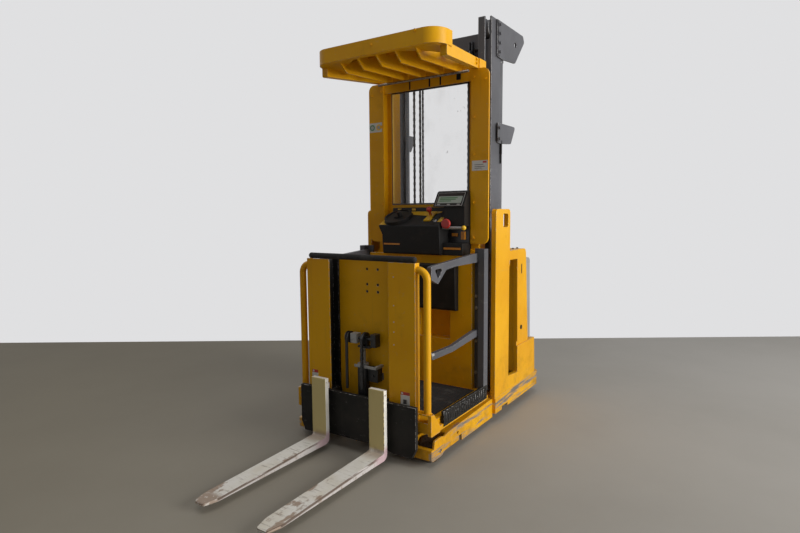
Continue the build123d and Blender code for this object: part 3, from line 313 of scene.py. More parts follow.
softWear = {"dust": 0.45, "sheen": 0.2, "bumpStrength": 0.3, "bumpDepth": 0.0008}
plainLooks = {
    "wheel_tread": {"tone": rgb(0.05, 0.032, 0.02), "second": rgb(0.10, 0.07, 0.045),
                    "dust": rgb(0.22, 0.19, 0.16), "rough": 0.62, "grain": 120},
    "black_pad": {"tone": rgb(0.020, 0.019, 0.019), "second": rgb(0.03, 0.029, 0.028),
                  "dust": rgb(0.13, 0.12, 0.11), "rough": 0.72, "grain": 160},
    "black_plastic": {"tone": rgb(0.007, 0.007, 0.007), "second": rgb(0.012, 0.011, 0.010),
                      "dust": rgb(0.035, 0.030, 0.024), "rough": 0.5, "grain": 420},
}


def dustySoft(name, look):
    material, place = openMaterial(name)
    patch = cloud(place, scale=12, detail=6, rough=0.6)
    grain = cloud(place, scale=look["grain"], detail=3, rough=0.5, shift=6)
    dust = ease(patch, 0.5, 0.75) * softWear["dust"]
    tone = mixTone(ease(grain, 0.35, 0.65), look["tone"], look["second"])
    tone = mixTone(dust, tone, look["dust"])
    rough = look["rough"] + dust * 0.3 + ease(grain, 0.3, 0.7) * 0.08
    return closeMaterial(material, place, {"Base Color": tone, "Roughness": rough},
                         {"Specular IOR Level": softWear["sheen"]},
                         (grain, softWear["bumpStrength"], softWear["bumpDepth"]))


paneLook = {"tone": rgb(0.50, 0.50, 0.49), "clear": 0.03, "smear": 0.05, "spots": 0.5, "spotsFrom": 0.02,
            "spotsFull": 0.16, "rough": 0.06, "filmRough": 2.0, "bending": 1.49}


def smudgedPane(name, look):
    material, place = openMaterial(name)
    smear = cloud(place, scale=7, detail=6, rough=0.6, stretch=(1, 1, 0.6))
    fine = cloud(place, scale=45, detail=5, rough=0.6, stretch=(1, 1, 0.3), shift=5)
    drops = cloud(place, scale=24, detail=5, rough=0.7, shift=19)
    right = ease(axisOf(place, "X"), look["spotsFrom"], look["spotsFull"])
    spot = ease(drops, 0.655, 0.71) * right * look["spots"]
    film = ease(smear, 0.45, 0.75) * look["smear"] + ease(fine, 0.62, 0.78) * look["smear"]
    changing = {"Alpha": film + spot + look["clear"], "Roughness": look["rough"] + film * look["filmRough"]}
    return closeMaterial(material, place, changing, {"Base Color": look["tone"], "IOR": look["bending"]})


markTones = {
    "paper": rgb(0.62, 0.61, 0.57), "red": rgb(0.42, 0.018, 0.012), "black": rgb(0.016, 0.016, 0.017),
    "green": rgb(0.10, 0.24, 0.11), "yellow": rgb(0.80, 0.47, 0.012), "silver": rgb(0.40, 0.40, 0.39),
    "orange": rgb(0.60, 0.22, 0.01), "screen": rgb(0.40, 0.46, 0.41),
}
mark = {name: number for number, name in enumerate(markTones)}
markWear = {"nearest": 0.4, "scuffRough": 0.25, "bumpStrength": 0.2, "bumpDepth": 0.0004}
markedLooks = {
    "printedLabel": {"rough": 0.45, "scuff": 0.35, "dirt": rgb(0.16, 0.12, 0.08)},
    "controlPlastic": {"rough": 0.30, "scuff": 0.16, "dirt": rgb(0.07, 0.06, 0.05)},
    "oiledParts": {"rough": 0.36, "scuff": 0.55, "dirt": rgb(0.03, 0.026, 0.02)},
}


def markedFaces(name, look):  # each face takes its colour from the attribute faceMark
    material, place = openMaterial(name)
    chosen = place.make("Attribute", {"attribute_name": "faceMark"}, output="Fac")
    tone = markTones["paper"]
    for colour, number in mark.items():
        same = chosen.make("Math", {"operation": "COMPARE"}, {0: chosen, 1: number, 2: markWear["nearest"]})
        tone = mixTone(same, tone, markTones[colour])
    scuff = ease(cloud(place, scale=34, detail=6, rough=0.65), 0.50, 0.72)
    grain = cloud(place, scale=180, detail=3, rough=0.5, shift=8)
    tone = mixTone(scuff * look["scuff"], tone, look["dirt"])
    changing = {"Base Color": tone, "Roughness": look["rough"] + scuff * markWear["scuffRough"]}
    bump = (grain, markWear["bumpStrength"], markWear["bumpDepth"])
    return closeMaterial(material, place, changing, bump=bump)


materials = {}
for maker, looks in ((paintedSteel, paintLooks), (wornMetal, metalLooks), (dustySoft, plainLooks),
                     (wornForks, {"fork_steel": forkLook}), (smudgedPane, {"clear_pane": paneLook}),
                     (markedFaces, markedLooks)):
    materials.update({name: maker(name, look) for name, look in looks.items()})
print("materials", len(materials))


# Every CAD node gets rounded edges on a merged copy of itself

edgeLook = {  # angles in degrees, apart from smallCorner in radians
    "usual": 0.0012, "cornerAngle": 32, "segments": 2, "merge": 0.00002, "flatAngle": 0.4,
    "smoothAngle": 50, "smallSmoothAngle": 40, "smallCorner": 0.6, "smallBevel": 0.0005,
    "wider": {"fork_right": 0.003, "fork_left": 0.003, "overhead_guard": 0.003, "leg_right": 0.003,
              "leg_left": 0.003, "chassis_base": 0.003, "side_frame_right": 0.0025,
              "side_frame_left": 0.0025, "rear_cover": 0.004, "carriage_plate": 0.002,
              "console_body": 0.004, "display_unit": 0.004, "storage_box": 0.003,
              "gate_rail_right": 0.003, "gate_rail_left": 0.003, "gate_bar_right": 0.003,
              "gate_bar_left": 0.003},
}
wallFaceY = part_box("front_panel_right")[0][1]  # every "along" below is counted from the front wall's face


def at(across, along, height):
    return Vector((across, wallFaceY + along, height))


def finishPiece(name, mesh, slot, body, finish=None):
    piece = bpy.data.objects.new(name, mesh)
    bpy.context.scene.collection.objects.link(piece)
    mesh.materials.clear()
    mesh.materials.append(materials[finish or slot])
    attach(piece, body)
    return piece


def smoothMesh(shape, angle):
    for face in shape.faces:
        face.smooth = True
    for edge in shape.edges:
        edge.smooth = len(edge.link_faces) == 2 and edge.calc_face_angle(0) < math.radians(angle)


def bevelCorners(shape, layer, angle, width, segments):
    corners = [edge for edge in shape.edges if len(edge.link_faces) == 2 and edge.calc_face_angle(0) > angle]
    made = bmesh.ops.bevel(shape, geom=corners, offset=width, offset_type="OFFSET", affect="EDGES",
                           segments=segments, profile=0.5, material=-1, clamp_overlap=True)
    for face in made["faces"]:
        face[layer] = 1


faceColours = {  # a face whose middle lies in one of the boxes takes its colour
    "console_controls": {
        "rest": "silver", "finish": "controlPlastic",
        "boxes": [((0.02, 0.62, 1.28), (0.12, 0.76, 1.347), "yellow"),
                  ((0.02, 0.62, 1.347), (0.12, 0.76, 1.45), "red"),
                  ((0.18, 0.60, 1.255), (0.26, 0.6397, 1.33), "red"),
                  ((0.313, 0.62, 1.24), (0.36, 0.68, 1.29), "yellow")],
    },
    "lift_head": {
        "rest": "black", "finish": "oiledParts",
        "boxes": [((-0.084, 0.02, 0.60), (-0.032, 0.08, 0.68), "silver"),
                  ((-0.03, 0.03, 0.08), (0.006, 0.09, 0.586), "silver")],
    },
    "window_gasket": {"rest": "black", "finish": "controlPlastic",
                      "boxes": [((-0.40, 0.70, 1.43), (-0.27, 0.90, 2.165), "yellow")]},
    "fork_cylinder": {"rest": "black", "finish": "oiledParts",
                      "boxes": [((-0.05, 0.02, 0.476), (0.03, 0.10, 0.50), "silver")]},
}
otherFinish = {"lift_chains": "oiled_chain", "anchor_chains": "oiled_chain"}


def paintFaces(shape, colours):
    layer = shape.faces.layers.float.new("faceMark")
    for face in shape.faces:
        face[layer] = mark[colours["rest"]]
        middle = face.calc_center_median()
        for low, high, colour in colours["boxes"]:
            first, last = at(*low), at(*high)
            if all(first[side] <= middle[side] <= last[side] for side in range(3)):
                face[layer] = mark[colour]


def dressNode(name):
    shape = bmesh.new()
    shape.from_mesh(truckNodes[name].data)
    bmesh.ops.remove_doubles(shape, verts=shape.verts, dist=edgeLook["merge"])
    bmesh.ops.dissolve_limit(shape, angle_limit=math.radians(edgeLook["flatAngle"]), verts=shape.verts,
                             edges=shape.edges)
    worn = shape.faces.layers.float.new("edgeWear")
    bevelCorners(shape, worn, math.radians(edgeLook["cornerAngle"]),
                 edgeLook["wider"].get(name, edgeLook["usual"]), edgeLook["segments"])
    if name in faceColours:
        paintFaces(shape, faceColours[name])
    smoothMesh(shape, edgeLook["smoothAngle"])
    mesh = bpy.data.meshes.new(name + "_worn")
    shape.to_mesh(mesh)
    shape.free()
    finish = faceColours[name]["finish"] if name in faceColours else otherFinish.get(name)
    piece = finishPiece(name + "_worn", mesh, slotOf[name], bodyOf[name], finish)
    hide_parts(name)
    flats = piece.modifiers.new("flats", "WEIGHTED_NORMAL")
    flats.keep_sharp = True


for name in sorted(truckNodes):
    dressNode(name)
print("dressed nodes", len(truckNodes))


# Small pieces that are built from blocks, rounds and flat outlines

def startShape():
    shape = bmesh.new()
    shape.faces.layers.float.new("edgeWear")
    shape.faces.layers.float.new("faceMark")
    return shape


def colourNew(shape, verts, colour):
    layer = shape.faces.layers.float["faceMark"]
    for face in {face for vert in verts for face in vert.link_faces}:
        face[layer] = mark[colour]


def addBlock(shape, low, high, colour="black"):
    place = Matrix.Translation((low + high) / 2) @ Matrix.Diagonal((*(high - low), 1))
    made = bmesh.ops.create_cube(shape, size=1, matrix=place)
    colourNew(shape, made["verts"], colour)


def addBlocks(shape, rows):  # low corner, high corner, colour
    for low, high, colour in rows:
        addBlock(shape, at(*low), at(*high), colour)


def sideBlock(shape, side, inner, outer, alongs, heights, colour="black"):  # side is -1 or 1
    low, high = zip(sorted((side * inner, side * outer)), alongs, heights)
    addBlocks(shape, [(low, high, colour)])


def addRound(shape, middle, radius, depth, axis, segments=20, colour="black"):
    facing = Vector(axis).to_track_quat("Z", "Y").to_matrix().to_4x4()
    made = bmesh.ops.create_cone(shape, cap_ends=True, segments=segments, radius1=radius, radius2=radius,
                                 depth=depth, matrix=Matrix.Translation(middle) @ facing)
    colourNew(shape, made["verts"], colour)


def addFlat(shape, corners, thickness, place, colour="black"):  # corners (u, v) in the plane of place
    verts = [shape.verts.new(place @ Vector((u, v, 0))) for u, v in corners]
    made = bmesh.ops.extrude_face_region(shape, geom=[shape.faces.new(verts)])
    grown = [item for item in made["geom"] if isinstance(item, bmesh.types.BMVert)]
    bmesh.ops.translate(shape, verts=grown, vec=place.to_3x3() @ Vector((0, 0, thickness)))
    touched = list({face for vert in verts + grown for face in vert.link_faces})
    bmesh.ops.recalc_face_normals(shape, faces=touched)
    colourNew(shape, verts + grown, colour)


def box2d(left, low, right, high):
    return [(left, low), (right, low), (right, high), (left, high)]


def closeShape(name, shape, slot, body, finish=None, bevel=edgeLook["smallBevel"]):
    if bevel:
        bevelCorners(shape, shape.faces.layers.float["edgeWear"], edgeLook["smallCorner"], bevel, 1)
    smoothMesh(shape, edgeLook["smallSmoothAngle"])
    mesh = bpy.data.meshes.new(name)
    shape.to_mesh(mesh)
    shape.free()
    finishPiece(name, mesh, slot, body, finish)


def blockPiece(name, look):
    shape = startShape()
    addBlocks(shape, look["blocks"])
    closeShape(name, shape, look["slot"], look["body"], look.get("finish"), look["bevel"])


# Bolt heads

boltLook = {"washer": 0.0016, "washerWide": 1.55, "washerSides": 14, "headTall": 0.9, "headSides": 6}
bracketHeights = (2.385, 2.44, 2.50, 2.555, 1.835, 1.905)
postPlaces = ((0.352, 1.20), (0.352, 1.42), (0.352, 1.72), (0.352, 1.95), (0.352, 2.19), (0.43, 2.17))
boltRows = [  # name, body, slot, axis, head radius, places
    ("wall_strip_bolts", "cabin", "bare_steel", (0, -1, 0), 0.007,
     [(side * 0.402, 0.690, height) for side in (-1, 1) for height in (0.345, 0.55, 0.76, 0.835)]),
    ("post_bolts", "cabin", "yellow_paint", (0, -1, 0), 0.007,
     [(side * across, 0.745, height) for side in (-1, 1) for across, height in postPlaces]),
    ("guard_arm_bolts_right", "cabin", "yellow_paint", (1, 0, 0), 0.008,
     [(0.3845, 0.715, 2.262), (0.3845, 0.715, 2.285)]),
    ("bracket_bolts", "chassis", "dark_paint", (1, 0, 0), 0.010,
     [(0.4172, 0.985, height) for height in bracketHeights]),
    ("bracket_bolts_left", "chassis", "dark_paint", (-1, 0, 0), 0.010,
     [(-0.4172, 0.985, height) for height in bracketHeights]),
    ("rear_wall_bolts", "cabin", "yellow_paint", (0, -1, 0), 0.004,
     [(across, 0.650, height) for across in (-0.35, 0.33) for height in (0.30, 0.52, 0.71, 1.05)]
     + [(across, 0.650, 0.52) for across in (-0.12, 0.126, 0.25)]),
    ("guard_front_bolts", "cabin", "yellow_paint", (0, -1, 0), 0.006,
     [(0.0, 0.156, 2.30), (0.29, 0.156, 2.325)]),
    ("hood_bolts", "chassis", "dark_paint", (0, 0, 1), 0.007,
     [(side * across, along, 1.103) for side in (-1, 1) for across in (0.15, 0.44)
      for along in (1.19, 1.27)]),
    ("cover_bolts", "chassis", "dark_paint", (0, 0, 1), 0.007,
     [(side * 0.40, along, 1.030) for side in (-1, 1) for along in (1.34, 1.41)]),
]


def boltHeads(name, body, slot, axis, radius, places):
    shape = startShape()
    washer, headTall = boltLook["washer"], radius * boltLook["headTall"]
    for place in places:
        foot = at(*place)
        addRound(shape, foot + Vector(axis) * washer / 2, radius * boltLook["washerWide"], washer, axis,
                 boltLook["washerSides"])
        addRound(shape, foot + Vector(axis) * (washer + headTall / 2), radius, headTall, axis,
                 boltLook["headSides"])
    closeShape(name, shape, slot, body, bevel=0)


for row in boltRows:
    boltHeads(*row)
print("bolts", sum(len(row[5]) for row in boltRows))


# Labels: blank paper with a coloured head, and two round icons

labelLook = {"sheet": 0.0005, "marks": 0.0007, "behind": 0.0002,
             "sign": (0.004, 0.016), "corner": (0.034, 0.008), "cornerFall": (0.016, 0.005)}
frontLabels = [  # name, middle across, face along, middle height, width, height, head's share, marks
    ("panel_label_right", 0.314, 0.0, 0.350, 0.058, 0.088, 0.20, [(-0.012, -0.022, 0.022, 0.024)]),
    ("panel_label_left", -0.332, 0.0, 0.392, 0.046, 0.060, 0.30, []),
    ("post_label_right", 0.396, 0.745, 1.648, 0.108, 0.062, 0.0,  # no head, so a red corner
     [(-0.036, 0.004, 0.060, 0.003), (-0.036, -0.008, 0.070, 0.003), (-0.036, -0.018, 0.048, 0.003)]),
]


def frontLabel(name, across, along, height, width, tall, head, marks):
    shape = startShape()
    half, top = width / 2, tall / 2
    split = top - tall * head
    rows = [(-half, half, -top, split, "paper", "sheet")]  # left, right, low, high, colour, thickness
    if head:
        rows.append((-half, half, split, top, "red", "sheet"))
        near, far = labelLook["sign"]
        rows.append((-half + near, -half + far, split + near, top - near, "paper", "marks"))
    else:
        near, far = labelLook["corner"]
        low, high = labelLook["cornerFall"]
        rows.append((half - near, half - far, top - low, top - high, "red", "marks"))
    rows += [(left, left + wide, low, low + high, "black", "marks") for left, low, wide, high in marks]
    addBlocks(shape, [((across + left, along - labelLook[thickness], height + low),
                       (across + right, along + labelLook["behind"], height + high), colour)
                      for left, right, low, high, colour, thickness in rows])
    closeShape(name, shape, "black_plastic", "cabin", "printedLabel", 0)


for row in frontLabels:
    frontLabel(*row)

iconLook = {"across": (-0.454, -0.346), "along": (0.7446, 0.7452), "height": (1.918, 1.982),
            "icons": [(-0.427, "green"), (-0.373, "yellow")], "face": 0.7444,
            "rounds": [(0.021, 0.0006, 28), (0.012, 0.0010, 20)]}  # radius, depth, segments


def postIcons():
    look = iconLook
    shape = startShape()
    low, high = zip(look["across"], look["along"], look["height"])
    addBlocks(shape, [(low, high, "paper")])
    for across, colour in look["icons"]:
        middle = at(across, look["face"], sum(look["height"]) / 2)
        for (radius, depth, segments), tone in zip(look["rounds"], (colour, "silver")):
            addRound(shape, middle, radius, depth, (0, -1, 0), segments, tone)
    closeShape("post_icons_left", shape, "black_plastic", "cabin", "printedLabel", 0)


postIcons()
print("labels", len(frontLabels) + 1)


# Black discs of painted shade in the back plate's holes, plugs in the side frames' hole and slot, rivets on
# the front panel

shadeDiscAndPlugLook = {"plateAcross": (-0.006, 0.070), "plateAlong": 0.0992, "plateHeights": (1.038, 0.950, 0.908),
            "plateRadius": 0.0076, "plateDepth": 0.0012,
            "frameHole": (0.484, 1.234, 0.552), "frameRadius": 0.0158, "frameDepth": 0.016,
            "slotAcross": (0.476, 0.490), "slotAlong": (1.2264, 1.2396), "slotHeights": (0.9325, 0.9975)}
rivetLook = {"across": 0.244, "along": -0.0006, "heights": (1.015, 0.86, 0.77, 0.715, 0.645),
             "radius": 0.0034, "depth": 0.0014}


def holeShadesAndPlugs():
    look = shadeDiscAndPlugLook
    shape = startShape()
    # black discs behind the back plate's holes: painted shade that makes the holes look dark
    for across in look["plateAcross"]:
        for height in look["plateHeights"]:
            middle = at(across, look["plateAlong"], height)
            addRound(shape, middle, look["plateRadius"], look["plateDepth"], (0, 1, 0), 16)
    closeShape("hole_shade_discs", shape, "black_plastic", "cabin", bevel=0)
    for side, word in sides:
        shape = startShape()
        across, along, height = look["frameHole"]
        middle = at(side * across, along, height)
        addRound(shape, middle, look["frameRadius"], look["frameDepth"], (1, 0, 0), 24)
        sideBlock(shape, side, *look["slotAcross"], look["slotAlong"], look["slotHeights"])
        closeShape("side_frame_plugs_" + word, shape, "black_plastic", "chassis", bevel=0)


def panelRivets():
    look = rivetLook
    shape = startShape()
    for height in look["heights"]:
        middle = at(look["across"], look["along"], height)
        addRound(shape, middle, look["radius"], look["depth"], (0, -1, 0), 10, "paper")
    closeShape("panel_rivets", shape, "yellow_paint", "cabin", "printedLabel", 0)


holeShadesAndPlugs()
panelRivets()
print("plugs and rivets")


# Fork lift: valve block, clamp plate and the hose's straight strand

valveLook = {"block": ((0.028, 0.050, 0.394), (0.096, 0.0975, 0.4755), "black"),
             "plug": (0.062, 0.046, 0.430), "plugRadius": 0.009, "plugDepth": 0.010}
clampLook = {"body": "cabin", "slot": "bare_steel", "finish": "oiledParts", "bevel": edgeLook["smallBevel"],
             "blocks": [((-0.050, 0.0222, 0.476), (0.104, 0.0258, 0.492), "silver"),
                        ((0.088, 0.0258, 0.476), (0.104, 0.0975, 0.492), "silver")]}
hoseLook = {"middle": (-0.105, 0.0240, 0.490), "radius": 0.0090, "length": 0.300}


def forkLiftDetails():
    shape = startShape()
    addBlocks(shape, [valveLook["block"]])
    addRound(shape, at(*valveLook["plug"]), valveLook["plugRadius"], valveLook["plugDepth"], (0, -1, 0), 16)
    closeShape("fork_valve", shape, "black_plastic", "cabin", "oiledParts")
    blockPiece("fork_clamp", clampLook)
    shape = startShape()
    addRound(shape, at(*hoseLook["middle"]), hoseLook["radius"], hoseLook["length"], (0, 0, 1), 16)
    closeShape("fork_hose", shape, "black_pad", "fork_head", "oiledParts", 0)


forkLiftDetails()
print("fork lift details")


# Console: yellow deck plates, small button, strips, dark back under the display, screen

def slopeOf(front, back):  # front and back are (along, height)
    return math.atan2(back[1] - front[1], back[0] - front[0])


deckLook = {
    "front": (0.600, 1.278), "back": (0.770, 1.368), "sheet": 0.0012, "lift": 0.0002,
    "disc": (-0.170, 0.0918), "discRadius": 0.101, "discTurns": range(240, 15, -15),
    "beforeDisc": [(-0.276, 0.003), (-0.236, 0.003)],
    "behindDisc": [(0.030, 0.128), (0.030, 0.186), (-0.210, 0.186), (-0.276, 0.186)],
    "plates": [box2d(0.150, 0.045, 0.176, 0.105),
               [(0.030, 0.128), (0.120, 0.170), (0.120, 0.186), (0.030, 0.186)]],
    "button": (0.128, 0.055),
    "buttonParts": [(0.004, 0.011, 0.010, "silver"), (0.010, 0.008, 0.006, "black")],  # lift, radius, depth
}
deckRise = slopeOf(deckLook["front"], deckLook["back"])


def onDeck(across, reach, lift=0.0):  # reach runs up the slope from its front edge
    along = deckLook["front"][0] + reach * math.cos(deckRise)
    height = deckLook["front"][1] + reach * math.sin(deckRise)
    slope = Matrix.Translation(at(across, along, height)) @ Matrix.Rotation(deckRise, 4, "X")
    return slope @ Matrix.Translation((0, 0, lift))


def deckPlates():
    look = deckLook
    shape = startShape()
    place = onDeck(0, 0, look["lift"])
    (across, reach), radius = look["disc"], look["discRadius"]
    rim = [(across + radius * math.cos(math.radians(turn)), reach + radius * math.sin(math.radians(turn)))
           for turn in look["discTurns"]]
    for outline in [look["beforeDisc"] + rim + look["behindDisc"], *look["plates"]]:
        addFlat(shape, outline, look["sheet"], place, "yellow")
    closeShape("deck_plates", shape, "black_plastic", "cabin", "controlPlastic", 0)


def deckButton():
    shape = startShape()
    up = onDeck(0, 0).to_3x3() @ Vector((0, 0, 1))
    for lift, radius, depth, colour in deckLook["buttonParts"]:
        middle = onDeck(*deckLook["button"], lift).translation
        addRound(shape, middle, radius, depth, up, 20, colour)
    closeShape("deck_button", shape, "black_plastic", "cabin", "controlPlastic")


stripLook = {"body": "cabin", "slot": "black_plastic", "finish": "controlPlastic", "bevel": 0,
             "blocks": [((-0.246, 0.6088, 1.148), (-0.118, 0.6150, 1.160), "orange"),
                        ((0.196, 0.6388, 1.125), (0.318, 0.6402, 1.138), "orange")]}
backingLook = {"body": "cabin", "slot": "black_plastic", "finish": "controlPlastic", "bevel": 0,
               "blocks": [((0.186, 0.7300, 1.166), (0.329, 0.7430, 1.2695), "black"),
                          ((0.214, 0.7180, 1.206), (0.252, 0.7300, 1.226), "orange"),
                          ((0.280, 0.7180, 1.186), (0.306, 0.7300, 1.236), "orange"),
                          ((-0.235, 0.7680, 1.3740), (-0.205, 0.7700, 1.3880), "yellow"),
                          ((-0.120, 0.7680, 1.3740), (-0.090, 0.7700, 1.3880), "yellow")]}
screenLook = {
    "low": (0.650, 1.395), "high": (0.712, 1.488), "left": 0.113,
    "parts": [  # left, low, right, high, lift, colour
        (0.012, 0.006, 0.205, 0.106, 0.0010, "silver"), (0.015, 0.009, 0.202, 0.103, 0.0014, "black"),
        (0.024, 0.026, 0.193, 0.078, 0.0020, "screen"), (0.036, 0.050, 0.150, 0.058, 0.0024, "green"),
        (0.036, 0.062, 0.160, 0.070, 0.0024, "green"), (0.036, 0.038, 0.120, 0.045, 0.0024, "green"),
        (0.028, 0.011, 0.048, 0.019, 0.0030, "silver"), (0.098, 0.011, 0.118, 0.019, 0.0030, "silver"),
        (0.168, 0.011, 0.188, 0.019, 0.0030, "silver")],
}


def displayScreen():
    look = screenLook
    shape = startShape()
    place = (Matrix.Translation(at(look["left"], *look["low"]))
             @ Matrix.Rotation(slopeOf(look["low"], look["high"]), 4, "X"))
    for left, low, right, high, lift, colour in look["parts"]:
        addFlat(shape, box2d(left, low, right, high), lift, place, colour)
    closeShape("display_screen", shape, "black_plastic", "cabin", "controlPlastic", 0)


deckPlates()
deckButton()
blockPiece("console_strips", stripLook)
blockPiece("console_backing", backingLook)
displayScreen()
print("console details")


# Kick covers over the sills, guard sheet and rod, black header strips that are mostly painted shadows of the
# guard bars' ends, plug at the mast

kickLook = {"front": 0.132, "back": 0.690, "innerBack": 0.642, "low": 0.190, "sillTop": 0.2074,
            "top": 0.276, "bevel": 0.001,
            "inner": 0.4625, "sill": 0.4764, "outer": 0.4800, "slotDepth": 0.0022, "slots": 19,
            "slotWide": 0.009, "slotFrom": 0.157, "slotTo": 0.665, "slotLow": 0.200, "slotHigh": 0.264}
guardLook = {"half": 0.398, "front": 0.190, "back": 0.340, "low": 2.3182, "high": 2.3200,
             "innerHalf": 0.262, "rear": (0.745, 2.2900), "rearSheet": 0.0015, "crossPlates": (0.300, 0.420),
             "plateTall": 0.045, "plateSheet": 0.003, "flangeHeight": 2.2488, "flangeSheet": 0.0035,
             "flange": [(0.402, 0.190), (0.386, 0.430), (0.300, 0.300), (0.150, 0.190)]}
rodLook = {"middle": (0, 0.700, 2.219), "radius": 0.0075, "length": 0.680}
# black strips on the header plate: the first three are painted shadows of the guard bars' ends, the last is a
# dark bracket
headerShadowLook = {"body": "cabin", "slot": "black_plastic", "bevel": 0,
            "blocks": [((-0.129, 0.7556, 2.175), (-0.119, 0.7570, 2.234), "black"),
                       ((0.023, 0.7556, 2.175), (0.033, 0.7570, 2.234), "black"),
                       ((0.104, 0.7556, 2.175), (0.114, 0.7570, 2.234), "black"),
                       ((0.226, 0.7556, 2.190), (0.256, 0.7570, 2.230), "black")]}
mastPlugLook = {"body": "chassis", "slot": "black_plastic", "bevel": 0.001,
                "blocks": [((0.3960, 1.0370, 1.742), (0.4120, 1.0530, 1.830), "black"),
                           ((0.4000, 1.0400, 1.680), (0.4090, 1.0490, 1.742), "black")]}


def kickCover(side, word):
    look = kickLook
    shape = startShape()
    sideBlock(shape, side, look["inner"], look["sill"], (look["front"], look["innerBack"]),
              (look["sillTop"], look["top"]))
    sideBlock(shape, side, look["sill"], look["outer"], (look["front"], look["back"]),
              (look["low"], look["top"]))
    step = (look["slotTo"] - look["slotFrom"]) / (look["slots"] - 1)
    for number in range(look["slots"]):
        middle = look["slotFrom"] + number * step
        sideBlock(shape, side, look["outer"], look["outer"] + look["slotDepth"],
                  (middle - look["slotWide"] / 2, middle + look["slotWide"] / 2),
                  (look["slotLow"], look["slotHigh"]))
    closeShape("kick_cover_" + word, shape, "black_plate", "cabin", bevel=look["bevel"])


def guardSheet():
    look = guardLook
    shape = startShape()
    low, high = look["low"], look["high"]
    addBlock(shape, at(-look["half"], look["front"], low), at(look["half"], look["back"], high))
    fall = high - look["rear"][1]
    reach = look["rear"][0] - look["back"]
    place = Matrix.Translation(at(0, look["back"], high)) @ Matrix.Rotation(-math.atan2(fall, reach), 4, "X")
    half = look["innerHalf"]
    addFlat(shape, box2d(-half, 0, half, math.hypot(fall, reach)), look["rearSheet"], place)
    for along in look["crossPlates"]:
        addBlock(shape, at(-half, along, low - look["plateTall"]), at(half, along + look["plateSheet"], low))
    place = Matrix.Translation(at(0, 0, look["flangeHeight"]))
    for side in (-1, 1):
        outline = [(side * across, along) for across, along in look["flange"]]
        addFlat(shape, outline, look["flangeSheet"], place)
    closeShape("guard_sheet", shape, "yellow_paint", "cabin", bevel=0)


def guardRod():
    shape = startShape()
    addRound(shape, at(*rodLook["middle"]), rodLook["radius"], rodLook["length"], (1, 0, 0), 20, "silver")
    closeShape("guard_rod", shape, "bare_steel", "cabin")


for side, word in sides:
    kickCover(side, word)
guardSheet()
guardRod()
blockPiece("header_shadow_strips", headerShadowLook)
blockPiece("mast_plug", mastPlugLook)
print("covers and guard")


# Floor mat with ribs

matLook = {"half": 0.415, "front": 0.108, "back": 0.642, "bottom": 0.2431, "sheet": 0.003, "ribs": 34,
           "ribWidth": 0.007, "ribTall": 0.0015, "ribSunk": 0.0005, "border": 0.01}


def floorMat():
    look = matLook
    shape = startShape()
    half, border, top = look["half"], look["border"], look["bottom"] + look["sheet"]
    addBlock(shape, at(-half, look["front"], look["bottom"]), at(half, look["back"], top))
    for number in range(look["ribs"]):
        left = -half + border + number * 2 * (half - border) / look["ribs"]
        addBlock(shape, at(left, look["front"] + border, top - look["ribSunk"]),
                 at(left + look["ribWidth"], look["back"] - border, top + look["ribTall"]))
    closeShape("floor_mat", shape, "black_pad", "cabin", bevel=0)


floorMat()
print("floor mat")


# Leaf chains: link plates and pins along each strand

chainLook = {"pitch": 0.0222, "plate": 0.0062, "pin": 0.0030, "plateReach": 0.52, "plateEnd": 0.003,
             "narrow": 0.72, "pinWide": 1.12, "pinSides": 8}
strands = [  # name, body, across, along, low, high, width
    ("mast_chain_links_right_rear", "inner_mast", 0.213, 1.034, 0.772, 2.384, 0.0135),
    ("mast_chain_links_right_front", "inner_mast", 0.213, 0.954, 0.772, 2.384, 0.0135),
    ("mast_chain_links_left_rear", "inner_mast", -0.213, 1.034, 0.772, 2.384, 0.0135),
    ("mast_chain_links_left_front", "inner_mast", -0.213, 0.954, 0.772, 2.384, 0.0135),
    ("anchor_chain_links_right", "chassis", 0.190, 1.034, 1.242, 2.380, 0.0105),
    ("anchor_chain_links_left", "chassis", -0.190, 1.034, 1.242, 2.380, 0.0105),
    ("fork_chain_links", "fork_head", 0.010, 0.0165, 0.352, 0.640, 0.0175),
]


def chainLinks(name, body, across, along, low, high, width):
    look = chainLook
    shape = startShape()
    count = int((high - low) / look["pitch"])
    reach = look["pitch"] * look["plateReach"]
    for number in range(count):
        height = low + (number + 0.5) * (high - low) / count
        half = width / 2 * (1.0 if number % 2 else look["narrow"])
        addBlock(shape, at(across - half, along - look["plate"], height - reach + look["plateEnd"]),
                 at(across + half, along + look["plate"], height + reach - look["plateEnd"]), "silver")
        addRound(shape, at(across, along, height + reach), look["pin"], width * look["pinWide"], (1, 0, 0),
                 look["pinSides"], "silver")
    closeShape(name, shape, "bare_steel", body, "oiled_chain", 0)


for strand in strands:
    chainLinks(*strand)
print("chain links", len(strands))


# Caps on the lower gate bars and strips on the mast's side brackets

capLook = {"across": (0.4034, 0.4306), "along": (0.0912, 0.118), "heights": (0.5830, 0.5978), "bevel": 0.002}
bracketLook = {"across": (0.4112, 0.4172), "along": (0.970, 1.000),
               "heights": [(2.362, 2.578), (1.820, 1.928)]}


def gateCap(side, word):
    shape = startShape()
    look = capLook
    sideBlock(shape, side, *look["across"], look["along"], look["heights"], "silver")
    body = f"gate_bar_{word}_body"
    closeShape("gate_bar_cap_" + word, shape, "black_plastic", body, "controlPlastic", look["bevel"])


def bracketStrips(side, word):
    shape = startShape()
    for heights in bracketLook["heights"]:
        sideBlock(shape, side, *bracketLook["across"], bracketLook["along"], heights)
    closeShape("bracket_strips_" + word, shape, "dark_paint", "chassis")


for side, word in sides:
    gateCap(side, word)
    bracketStrips(side, word)
print("gate caps and bracket strips")


# Floor, light and camera

